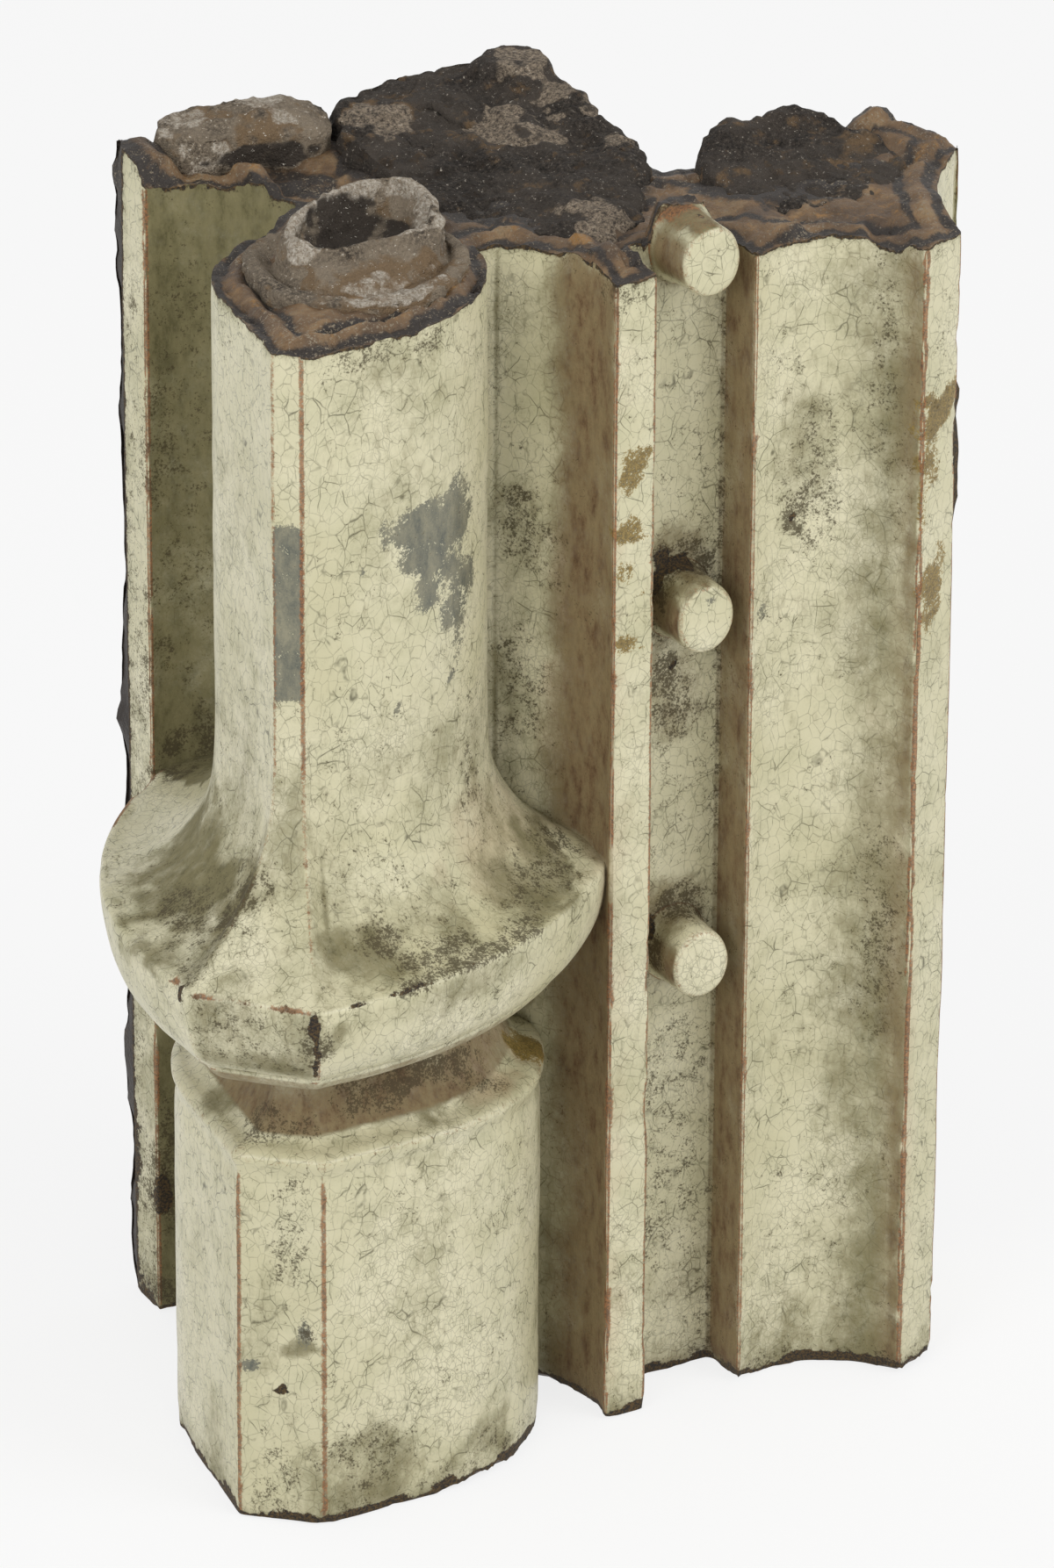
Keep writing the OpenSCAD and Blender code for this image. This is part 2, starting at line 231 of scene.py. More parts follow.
def ring_side(out, nose, run, r, reach, n=SIDE):
    """One side of each ring: a straight run from the nose, then an arc of radius r that ends at
    reach. Rows are rings; each point is (along the face, out from the face)."""
    out, nose, run, r, reach = (np.asarray(v, float)[:, None] for v in (out, nose, run, r, reach))
    start = nose / math.sqrt(2) - out
    angle = np.arcsin(np.minimum(1, (reach - run) / r))
    s = np.linspace(0, 1, n)[None, :] * (run - start + r * angle)
    a = np.maximum(0, s - (run - start)) / r
    on_arc = s > run - start
    along = np.where(on_arc, run + r * np.sin(a), start + s)
    outward = np.where(on_arc, out - r + r * np.cos(a), out + 0 * s)
    return np.stack([along, outward], -1)


def mix(a, b, m):
    """a where m is 0, b where it is 1, and straight between."""
    return a + (b - a) * m


def stage(n):
    """n even steps from 0 towards 1."""
    return np.linspace(0, 1, n, endpoint=False)


def rising(n):
    """A quarter circle's rise from 0 to 1 in n steps."""
    return np.sin(np.pi / 2 * stage(n))


def falling(n):
    """A quarter circle's fall from 1 to 0 in n steps."""
    return np.cos(np.pi / 2 * stage(n))


# Up the whole profile: how far out, towards the widest edge (swell) or the plinth (spread), and the height
lip_share = 1 - LIP / PLINTH_OUT / 2
profile = [
    (np.full(60, 1.0), mix(UNDER - 1, PLINTH_H - LIP, stage(60)), "spread"),
    (1 - LIP / PLINTH_OUT * (1 - np.cos(np.radians(60) * stage(10))),
     PLINTH_H - LIP + LIP * np.sin(np.radians(60) * stage(10)), "spread"),
    (mix(lip_share, 0, rising(34)), mix(PLINTH_H, NECK_Z, 1 - falling(34)), "spread"),
    (mix(0, ROLL_SWELL, rising(40)), mix(ROLL_Z, NECK_Z, falling(40)), "swell"),
    (mix(ROLL_SWELL, 1, rising(30)), mix(RING_Z, ROLL_Z, falling(30)), "swell"),
    ((1 - stage(80)) ** 1.6, np.full(80, RING_Z), "flare"),
    (np.zeros(70), mix(RING_Z + FLARE_H, OVER + 1, np.linspace(0, 1, 70)), "swell"),
]
m = np.concatenate([p[0] for p in profile])
z = np.concatenate([p[1] for p in profile])
kind = np.concatenate([[p[2]] * len(p[0]) for p in profile])
spread = kind == "spread"
swell_nose = mix(SHAFT_NOSE, RING_NOSE, m)
swell_right = ring_side(RING_OUT * m, swell_nose, mix(SHAFT_FLAT, 0, m), mix(SHAFT_R, RING_R, m),
                        mix(SHAFT_W, FILLET_L[0] + 10, m))
swell_left = ring_side(RING_OUT * m, swell_nose, mix(SHAFT_W - LEFT_R, 0, m), mix(LEFT_R, RING_R, m),
                       mix(SHAFT_W, LEFT_ARRIS[1] + 6, m))
reach = SHAFT_W + PLINTH_OUT * m
spread_right = ring_side(PLINTH_OUT * m, mix(SHAFT_NOSE, PLINTH_NOSE, m), mix(SHAFT_FLAT, PLINTH_FLAT, m),
                         mix(SHAFT_R, PLINTH_R, m), reach)
spread_left = ring_side(PLINTH_OUT * m, mix(SHAFT_NOSE, PLINTH_NOSE, m), 0 * m + SHAFT_W - LEFT_R,
                        LEFT_R + PLINTH_OUT * m, reach)
right = np.where(spread[:, None, None], spread_right, swell_right)
left = np.where(spread[:, None, None], spread_left, swell_left)
slope = np.tan(np.radians(np.where(spread, LEFT_LEAN, mix(LEFT_LEAN, RING_LEAN, m))))[:, None]
right_xy = np.stack([right[..., 0], -right[..., 1]], -1)
left_xy = np.stack([slope * (left[..., 0] - LEAN_FROM) - left[..., 1], left[..., 0]], -1)
nose_xy = mix(left_xy[:, :1], right_xy[:, :1], np.linspace(0, 1, ACROSS + 2)[1:-1][None, :, None])
ring_xy = np.concatenate([left_xy[:, ::-1], nose_xy, right_xy], 1)
far = np.clip(np.maximum(ring_xy[..., 0], ring_xy[..., 1]) / (LEFT_ARRIS[1] + 6), 0, 1)
flare_z = RING_Z + FLARE_H * (1 - m[:, None] ** (1 / mix(FLARE_POWER, END_POWER, far)))
ring_z = np.where((kind == "flare")[:, None], flare_z, z[:, None])
shaft = np.concatenate([ring_xy, ring_z[..., None]], -1)
shaft = soften(soften(shaft, 1.1, 1), 1.2, 0)

# Keep the rows and columns that carry the shape: many at the nose and at each turn of the profile
nose_at = np.arange(SIDE - 14, SIDE + 30)
columns = np.unique(np.concatenate([np.arange(0, ROUND, 4), nose_at, [ROUND - 1]]))
starts = np.cumsum([0] + [len(p[0]) for p in profile])
rows = [np.arange(i, j, step) for i, j, step in zip(starts, starts[1:], (1, 2, 2, 2, 2, 2, 1))]
edge_row = starts[5]
rows = np.unique(np.concatenate(rows + [np.arange(edge_row - 5, edge_row + 8), [len(m) - 1]]))
shaft = shaft[rows][:, columns]
shaft_kind = kind[rows]
face = normals(shaft, False)
push = 0.5 * noise(shaft, 55, 5) + 0.22 * noise(shaft, 16, 6)
from_nose = np.maximum(LEFT_CORNER - columns, columns - RIGHT_CORNER)
share_out = np.where(shaft_kind == "flare", m[rows], 0)
bowl = np.where(columns < LEFT_CORNER, 5.2, 3.8) * smooth(0, 11, from_nose) * smooth(168, 110, from_nose)
push -= (4 * share_out * (1 - share_out))[:, None] * bowl
widest = np.exp(-((shaft[..., 2] - RING_Z) / 3.0) ** 2) * (shaft_kind != "spread")[:, None]
push -= widest * 1.6 * smooth(0.2, 0.8, grain(shaft, 13, 3, 12))
lip_height = shaft[..., 2] - PLINTH_H - 1.2 * noise(shaft, 40, 9)
lip_line = 1.7 * np.exp(-(((lip_height + 3.5) / 2.8) ** 2)) - 0.8 * np.exp(-(((lip_height + 12) / 4.0) ** 2))
push += lip_line * (shaft_kind == "spread")[:, None]
push -= smooth(10, 0, shaft[..., 2]) * (0.5 + 1.8 * smooth(-0.2, 0.8, grain(shaft, 12, 3, 51)))
push -= smooth(499, 509, shaft[..., 2]) * (0.2 + 0.6 * smooth(-0.2, 0.8, grain(shaft, 9, 3, 61)))
shaft = shaft + face * push[..., None]
shaft[0, :, 2], shaft[-1, :, 2] = UNDER - 1, OVER + 1
corner_at = np.searchsorted(columns, (LEFT_CORNER, RIGHT_CORNER))
nose_rows = np.arange(0, len(shaft) - 1, 0.25)
nose_lines = np.concatenate([[np.interp(nose_rows, np.arange(len(shaft)), shaft[:, c, i]) for i in range(3)]
                             for c in corner_at], 1).T
inner = np.array([(131.0, 64.0), (79.0, 64.0), (79.0, 120.0)])
closing = np.empty((len(shaft), 3, 3))
closing[..., :2] = inner
closing[:, 0, 0] = shaft[:, -1, 0]
closing[:, 2, 1] = shaft[:, 0, 1]
closing[..., 2] = shaft[:, :1, 2]
closing[:, 0, 2] = shaft[:, -1, 2]
shaft = np.concatenate([shaft, closing], 1)
shaft_object = to_object("shaft", shaft, tube_faces(*shaft.shape[:2]))

# Studs: oval pegs pressed up from the channel's floor, with soft edges and a spread foot
a = np.linspace(0, 2 * np.pi, 48, endpoint=False)[None, :]
stud_out = np.array([-14, -6, 0, 1.5, 3.5, 7, 11, 15, 19, 21.8, 23.1, 23.9, 24.3, 24.4, 24.5])[:, None]
stud_in = np.array([0, 0, -2.4, -1.3, -0.6, -0.2, -0.1, 0, 0, 0.2, 0.7, 1.5, 2.8, 6.0, 10.5])[:, None]
studs = []
for number, stud_z in enumerate(STUD_HEIGHTS):
    stud = np.stack(np.broadcast_arrays(
        STUD_X + (STUD_W / 2 - stud_in) * np.cos(a), CHANNEL_Y - stud_out,
        stud_z + (STUD_H / 2 - stud_in) * np.sin(a)), -1).copy()
    stud += normals(stud, True) * (0.45 * noise(stud, 9, 70 + number))[..., None]
    studs.append(to_object("stud", stud, tube_faces(*stud.shape[:2])))

# Raw top: a height over the plan that is cut through the skin. The clay sinks between its glazed
# edge and the cells, with lumps and broken places where the next block tore away.
def level_grid(pitch):
    """Grid of points over the whole plan, a pitch apart, at height 0."""
    x, y = np.meshgrid(np.arange(-72, 352, pitch), np.arange(-72, 214, pitch))
    return np.stack([x, y, 0 * x], -1)


top = level_grid(2.0)


def blob(p, x, y, across, deep, turn=0.0, edge=0.35):
    """1 inside an oval about (x, y), 0 outside it, with an edge that is a share of its radius and
    wanders a little."""
    c, s = math.cos(math.radians(turn)), math.sin(math.radians(turn))
    dx, dy = p[..., 0] - x, p[..., 1] - y
    d = np.hypot((c * dx + s * dy) / across, (c * dy - s * dx) / deep)
    d = d + 0.16 * noise(p * (1, 1, 0), 11, 80) + 0.07 * noise(p * (1, 1, 0), 4, 81)
    return smooth(1 + edge / 2, 1 - edge / 2, d)


def inside(points, polygon):
    """True for points inside a closed polygon, by counting crossings."""
    x, y = points[:, None, 0], points[:, None, 1]
    x0, y0 = polygon[:, 0], polygon[:, 1]
    x1, y1 = np.roll(x0, -1), np.roll(y0, -1)
    crosses = (y0 > y) != (y1 > y)
    slope = np.where(y1 == y0, 1e-9, y1 - y0)
    return (crosses & (x < x0 + (y - y0) * (x1 - x0) / slope)).sum(1) % 2 == 1


def plan_edge(ring):
    """Points round the block's plan: the body's outline outside the shaft's ring, and the ring
    outside the body."""
    of_body, of_shaft = outline[::6], ring[:-3]
    return np.vstack([of_body[~inside(of_body, ring)], of_shaft[~inside(of_shaft, outline[::2])]])


top_edge = plan_edge(shaft[-8, :, :2])


def rim_distance(p, edge):
    """Distance in plan from each point to the nearest of the points round the block's edge."""
    flat = p[..., :2].reshape(-1, 2)
    out = [np.sqrt(((chunk[:, None] - edge) ** 2).sum(-1)).min(1) for chunk in np.array_split(flat, 40)]
    return np.concatenate(out).reshape(p.shape[:-1])


def bed(p):
    """Height of the raw upper bed: its level, less a hollow behind the glazed edge, with the
    larger lumps and pits, and three sizes of roughness."""
    rim = rim_distance(p, top_edge)
    on_shaft = smooth(112, 100, p[..., 0]) * smooth(120, 104, p[..., 1])
    front = on_shaft * smooth(30, -5, p[..., 1])
    h = BED - 0.8 + 0 * rim
    wave = rim + 0.9 * noise(p * (1, 1, 0), 24, 86)
    h -= 2.6 * np.exp(-(((wave - 4.0) / 2.2) ** 2)) * (0.2 + 0.8 * on_shaft)
    h += 1.1 * np.exp(-(((wave - 9.0) / 2.8) ** 2))
    h -= 3.2 * np.exp(-(((wave - 15.0) / 3.2) ** 2)) * (0.25 + 0.75 * on_shaft)
    h -= front * smooth(9, 0, rim) * 3.0 * smooth(100, 55, p[..., 0])
    h += 12 * blob(p, 31, 190, 13, 17, edge=0.7)
    h -= 5 * blob(p, 88, 152, 15, 20, edge=0.5)
    h += 5 * blob(p, 70, 160, 6, 15, turn=12, edge=0.3) + 3 * blob(p, 60, 150, 9, 6, edge=0.3)
    h += 4 * blob(p, 153, 32, 6, 15, edge=0.5) + 4 * blob(p, 168, 21, 8, 6, edge=0.5)
    h += 2.5 * blob(p, 138, 68, 11, 7, turn=-20, edge=0.4)
    h = np.maximum(h, BED + 15.5 - 19.5 * (1 - blob(p, 188.5, 12, 19, 25, edge=0.35)))
    h -= 4 * blob(p, 266, -2, 7, 12, turn=-10, edge=0.8)
    h += 5 * blob(p, 316, 96, 9, 7, edge=0.9) + 3.5 * blob(p, 322, 78, 12, 22, edge=0.6)
    h += 2.0 * blob(p, 228, 30, 9, 22, edge=0.5) + 2 * blob(p, 290, 12, 12, 14, edge=0.5)
    h += 1.0 * grain(p, 16, 2, 90) + 0.9 * grain(p, 6.5, 2, 92)
    h += 0.7 * smooth(-0.1, 0.1, noise(p, 11, 87)) - 1.5 * smooth(0.25, 0.8, grain(p, 8, 2, 95))
    chips = smooth(2.4, 0, rim) * (0.4 + 0.9 * smooth(-0.2, 0.9, grain(p, 6, 3, 97)))
    return np.minimum(h, CLAY_TOP) - chips


def slab(name, grid, height, other):
    """Closed slab under or over a height, for cutting: the height's grid, a flat copy of it at the
    level other, and the four sides between."""
    ny, nx = grid.shape[:2]
    a, b = grid.copy(), grid.copy()
    a[..., 2], b[..., 2] = height, other
    i = np.arange(ny - 1)[:, None] * nx + np.arange(nx - 1)[None, :]
    up = np.stack([i, i + 1, i + nx + 1, i + nx], -1).reshape(-1, 4)
    ringed = np.concatenate([np.arange(nx), np.arange(1, ny) * nx + nx - 1,
                             (ny - 1) * nx + np.arange(nx - 2, -1, -1), np.arange(ny - 2, 0, -1) * nx])
    after = np.roll(ringed, -1)
    sides = np.stack([ringed + nx * ny, after + nx * ny, after, ringed], -1)
    faces = np.vstack([up, up[:, ::-1] + nx * ny, sides])
    if np.mean(height) < np.mean(other):
        faces = faces[:, ::-1]
    return to_object(name, np.concatenate([a, b]), faces.tolist(), np.ones(len(faces)))


top_slab = slab("top_slab", top, bed(top), -30.0)
foot = level_grid(4.0)
foot_rim = rim_distance(foot, plan_edge(shaft[8, :, :2]))
chipped = smooth(5, 0, foot_rim) * (1.0 + 4.0 * smooth(0.0, 0.9, grain(foot, 22, 3, 99)))
foot_slab = slab("foot_slab", foot, chipped, 600.0)


def cut_together(obj, others):
    """Apply each boolean in turn, then drop the cutters, so the piece is one closed skin."""
    for other, operation in others:
        modifier = obj.modifiers.new(operation, "BOOLEAN")
        modifier.object, modifier.operation, modifier.solver = other, operation, "MANIFOLD"
    evaluated = obj.evaluated_get(bpy.context.evaluated_depsgraph_get())
    mesh = bpy.data.meshes.new_from_object(evaluated)
    obj.modifiers.clear()
    old = obj.data
    obj.data = mesh
    bpy.data.meshes.remove(old)
    for other, _ in others:
        bpy.data.objects.remove(other)
    return obj


slots = [bpy.data.materials.new("crackled_glaze"), bpy.data.materials.new("raw_terracotta")]
for obj in [body, shaft_object, top_slab, foot_slab] + studs:
    for material in slots:
        obj.data.materials.append(material)
block = cut_together(body, [(shaft_object, "UNION")] + [(s, "UNION") for s in studs]
                     + [(top_slab, "INTERSECT"), (foot_slab, "INTERSECT")])
block.name = "glazed_block"
block.data.set_sharp_from_angle(angle=math.radians(38))


# ------------------------------------------------------------------ glazed block: glaze and clay
# Cream lead glaze with a fine crackle, worn to the rust-coloured body along the arrises and stained
# by a century of soot. Some of the dark coats are painted shade: in the concave creases, the bowl beside
# the nose, the nose's face and at the left foot of the studs; the thinner film high in the hollow paints
# its highlight. Where each stain lies is worked out at the mesh's points; how it breaks up
# is left to the noise in the material.
def linear(code, alpha=1.0):
    """sRGB hex code to a linear colour."""
    c = np.array([int(code[i:i + 2], 16) for i in (1, 3, 5)]) / 255
    c = np.where(c <= 0.04045, c / 12.92, ((c + 0.055) / 1.055) ** 2.4)
    return (*c.tolist(), alpha)


def add(tree, kind, values=None, **settings):
    """A node with its settings; values maps an input's name or number to a socket or a constant."""
    n = tree.nodes.new(kind)
    for key, value in settings.items():
        setattr(n, key, value)
    for key, value in (values or {}).items():
        if isinstance(value, bpy.types.NodeSocket):
            tree.links.new(value, n.inputs[key])
        else:
            n.inputs[key].default_value = value
    return n


def read_mesh(mesh):
    """Points in plan millimetres, normals, edges and the two faces at each edge; the faces' centres
    in millimetres, normals and material slots."""
    def get(source, name, width, kind):
        values = np.empty(len(source) * width, kind)
        source.foreach_get(name, values)
        return values.reshape(-1, width) if width > 1 else values
    p = get(mesh.vertices, "co", 3, np.float32) / MM - ORIGIN
    n = get(mesh.vertices, "normal", 3, np.float32)
    edges = get(mesh.edges, "vertices", 2, np.int32)
    face_of_loop = np.repeat(np.arange(len(mesh.polygons)), get(mesh.polygons, "loop_total", 1, np.int32))
    order = np.argsort(get(mesh.loops, "edge_index", 1, np.int32), kind="stable")
    centres = get(mesh.polygons, "center", 3, np.float32) / MM
    face_n = get(mesh.polygons, "normal", 3, np.float32)
    return p, n, edges, face_of_loop[order].reshape(-1, 2), centres, face_n, \
        get(mesh.polygons, "material_index", 1, np.int32)


def at_points(edges, count, per_edge):
    """Mean over the edges that meet at each point."""
    total = sum(np.bincount(edges[:, i], per_edge, count) for i in (0, 1))
    return total / np.maximum(sum(np.bincount(edges[:, i], minlength=count) for i in (0, 1)), 1)


def spread_out(edges, field, times):
    """Field shared with neighbouring points, again and again."""
    for _ in range(times):
        field = (field + at_points(edges, len(field), field[edges].mean(1)) * 2) / 3
    return field


def stains(p, table):
    """Union of ovals with wandering edges: rows of x, y, z, radius across, radius up, strength."""
    clear = np.ones(len(p))
    wander = 0.42 * noise(p * (1, 1, 0.5), 15, 205) + 0.36 * noise(p, 7, 206) + 0.2 * noise(p, 3.5, 207)
    for x, y, z, across, up, strength in table:
        d = np.sqrt(((p[:, 0] - x) ** 2 + (p[:, 1] - y) ** 2) / across**2 + (p[:, 2] - z) ** 2 / up**2)
        clear *= 1 - strength * smooth(1.25, 0.4, d + wander * min(1, across / 8))
    return 1 - clear


def paint(mesh, name, *channels):
    """Four channels from 0 to 1 kept at the mesh's points as one colour attribute."""
    values = np.clip(np.stack(np.broadcast_arrays(*channels), -1), 0, 1).astype(np.float32)
    mesh.color_attributes.new(name, "FLOAT_COLOR", "POINT").data.foreach_set("color", values.ravel())


# How sharply the skin turns at each point, out at an arris and in at a crease, and the rim where
# glaze meets clay
p, n, edges, faces_at, middles, face_normals, face_slots = read_mesh(block.data)
x, y, z = p.T
n0, n1 = face_normals[faces_at[:, 0]], face_normals[faces_at[:, 1]]
step = middles[faces_at[:, 1]] - middles[faces_at[:, 0]]
angle = np.arccos(np.clip((n0 * n1).sum(1), -1, 1)) / np.maximum(np.linalg.norm(step, axis=1), 0.4)
same = face_slots[faces_at[:, 0]] == face_slots[faces_at[:, 1]]
bent = at_points(edges, len(p), np.where(same, -np.sign((n0 * step).sum(1)) * np.minimum(angle, 0.8), 0))
bent = spread_out(edges, bent, 1)
arris = smooth(0.035, 0.13, bent)
# crease feeds the film and grime below: dirt in the concave creases, and painted shade there as well.
crease = spread_out(edges, smooth(0.02, 0.12, -bent), 3)
rim = at_points(edges, len(p), (~same).astype(float) * 3)
rim_wide = spread_out(edges, np.minimum(rim, 1), 5)

# Parts of the block that hold dirt in their own way
in_channel = (x > 163) & (x < 210) & (y > 3.5)
wall = smooth(-0.75, -0.97, n[:, 0]) * (x > 128) * (y < 60)
left_cove = (x < 76) & (y > 128) & (y < 176) & (x > 26)
right_cove = (x > 120) & (x < 147) & (y < 60) & (z > 20)
hollow = (z > 172) & (z < 214) & (x < 136) & (y < 140)
wide_cove = (x > 209) & (x < 270.5) & (y < 17) & (y > -26)
stud_face = (np.abs(x - STUD_X) < 15) & (y < 3.5) & (n[:, 1] < -0.6)
valley = (z > RING_Z + 1) * smooth(268, 260, z) * (n[:, 2] > 0.3) * (y < 60) * smooth(76, 104, x) * (x < 130)
edge_dirt = np.exp(-(((z - RING_Z) / 2.5) ** 2)) * (y < 0) * (x > 20) * (x < 96)


def beside(line, p):
    """Distance in plan from a corner line of the nose, with its sign: the cross product of the way
    to each point with the line's course."""
    top, low = line[-1, :2], line[np.abs(line[:, 2] - RING_Z).argmin(), :2]
    way = (low - top) / np.linalg.norm(low - top)
    return (p[:, 0] - top[0]) * way[1] - (p[:, 1] - top[1]) * way[0]


def gap_to(line):
    """Distance from each point near the nose to a line of points, and 99 mm elsewhere."""
    gap = np.full(len(p), 99.0)
    gap[near_nose] = np.concatenate([np.sqrt(((p[i][:, None] - line[None]) ** 2).sum(-1).min(1))
                                     for i in np.array_split(near_nose, 120)])
    return gap


# The nose between its two corner lines: its facet on the flare and the bowl left of it, its face under
# the widest edge, the stain down its right corner, the edge itself, and the smeared panel on the shaft
near_nose = np.flatnonzero((x < 20) & (y < 30))
left_line, right_line = np.split(nose_lines, 2)
left_gap, right_gap = gap_to(left_line), gap_to(right_line)
side_l = beside(left_line, p) * np.sign(beside(left_line, right_line[-9:-8]))
side_r = beside(right_line, p) * np.sign(beside(right_line, left_line[-9:-8]))
in_flare = smooth(RING_Z - 0.5, RING_Z + 1.5, z) * smooth(345, 320, z) * (x < 30) * (y < 30)
nose_facet = in_flare * smooth(-1.2, 1.2, side_l) * smooth(-1.2, 1.2, side_r)
# left_bowl gives film and grime below that paint the bowl's shade beside the nose's facet.
left_bowl = in_flare * smooth(0.8, -1.2, side_l) * smooth(302, 286, z)
left_bowl *= smooth(-26, -10, side_l + 5 * noise(p, 12, 321))
# nose_face gives film and grime below that are dirt and painted shade of the face turned from the light.
nose_face = smooth(RING_Z + 0.5, RING_Z - 1, z) * smooth(216, 224, z) * (x < 0) * (y < 0)
nose_face *= smooth(-2.5, 1.5, side_l) * smooth(-2.5, 1.5, side_r)
corner_stain = smooth(RING_Z + 1, RING_Z - 1, z) * smooth(218, 224, z) * smooth(-0.55, 0.1, noise(p, 9, 324))
corner_stain *= smooth(3.0, 1.0, right_gap + 1.4 * noise(p, 5, 323))
edge_line = np.exp(-(((z - RING_Z + 0.4) / 1.3) ** 2)) * (y < -2) * (x < 64)
edge_line *= smooth(-0.45, 0.1, noise(p, 8, 325))
nose_along = (x - 1.8) * 0.83 - (y - 2.8) * 0.56
nose_depth = np.abs((x - 1.8) * 0.56 + (y - 2.8) * 0.83)
nose_panel = smooth(6.6, 5.4, np.abs(nose_along + 0.2)) * smooth(4, 2, nose_depth)

# Film and shade: the thin green-brown dirt that lies in the coves and on the ledges, with painted shade
# in the concave creases, in the bowl beside the nose and on the nose's face under the widest edge
tall = p * (1, 1, 0.3)
film_and_shade = np.maximum.reduce([
    wide_cove * smooth(236, 268, x) * (0.5 + 0.14 * noise(p * (1, 1, 0.2), 12, 305)),
    wall * smooth(0, 2.5, np.abs(y - 2)) * (0.8 + 0.25 * noise(tall, 12, 303)),
    left_cove * (0.72 + 0.2 * smooth(300, 250, z) + 0.16 * smooth(380, 480, z)),
    right_cove * smooth(138, 147, x) * (0.4 + 0.2 * noise(tall, 14, 304)) * (1 - 0.4 * smooth(250, 120, z)),
    # In the hollow the film thins towards the top, which paints the hollow's highlight as well as cleaner
    # glaze.
    hollow * (0.46 + 0.34 * smooth(198, 178, z)) * (1 - 0.4 * smooth(70, 100, x)),
    0.5 * valley, 0.6 * crease, 0.6 * rim_wide, stains(p, [
    (144, 22, 490, 14, 40, 0.1), (133, 48, 385, 15, 40, 0.42), (130, 55, 325, 12, 40, 0.25),
    (143, 30, 110, 20, 130, 0.15), (232, 5, 413, 14, 40, 0.35), (-20, 5, 280, 17, 19, 0.85),
    (-30, 34, 266, 34, 22, 0.6), (-8, 60, 275, 22, 22, 0.5), (102, -4, 264, 28, 14, 0.4),
    (50, -22, 268, 24, 10, 0.2), (125, 14, 262, 16, 12, 0.4), (104, 10, 285, 16, 26, 0.2),
    (16, -40, 262, 20, 10, 0.35), (-15, -52, 242, 10, 10, 0.5), (-42, -20, 250, 12, 10, 0.45),
    (2, 3, 300, 9, 30, 0.2), (22, -19, 25, 22, 22, 0.45), (84, -13, 16, 20, 14, 0.5),
    (-14, -2, 90, 10, 40, 0.3), (-12, 30, 20, 16, 40, 0.3), (120, 14, 120, 8, 110, 0.3),
    (186, 26, 318, 16, 26, 0.45), (190, 24, 365, 22, 20, 0.6), (188, 24, 216, 20, 18, 0.6),
    (47, 0, 498, 22, 16, 0.2), (60, 2, 330, 34, 30, 0.3), (25, 180, 120, 22, 140, 0.25),
    (25, 180, 20, 30, 30, 0.15), (50, -8, 179, 44, 8, 0.7), (-20, 30, 268, 40, 18, 0.35),
    (-10, -30, 262, 30, 10, 0.3), (-12, -12, 186, 10, 12, 0.6), (40, -50, 246, 70, 6, 0.2),
    (232, 5, 20, 20, 20, 0.3)]), stains(p, [
    (-30, -44, 240, 18, 8, 0.25), (-3, -12, 80, 9, 5, 0.8), (180, 16, 362, 9, 14, 0.75),
    (188, 18, 369, 12, 6, 0.7), (180, 16, 208, 9, 14, 0.7), (190, 16, 216, 12, 6, 0.5),
    (190, 16, 523, 16, 6, 0.8), (182, 20, 515, 8, 12, 0.7), (60, -10, 178, 30, 7, 0.6),
    (34, -9, 184, 26, 7, 0.7), (60, -6, 186, 20, 7, 0.75), (-12, 16, 186, 16, 9, 0.7),
    (-9, 40, 176, 12, 22, 0.6), (-12, 74, 270, 28, 20, 0.6), (60, -28, 262, 12, 8, 0.3),
    (110, -16, 258, 26, 7, 0.6)])])
film_and_shade += 0.12 * (z > RING_Z) * smooth(345, 315, z) * (x < 130) * (y < 110)
film_and_shade += 0.3 * smooth(26, 0, z) + 0.1 + 0.16 * noise(p, 48, 301) + 0.08 * noise(p, 19, 302)
film_and_shade = np.maximum.reduce([
    film_and_shade * (1 - 0.5 * nose_facet), nose_facet * (0.2 + 0.24 * smooth(276, 290, z)), 0.62 * left_bowl,
    nose_face * (0.5 + 0.2 * noise(p, 14, 322) + 0.25 * smooth(236, 222, z))])
film_and_shade *= 1 - 0.8 * stud_face

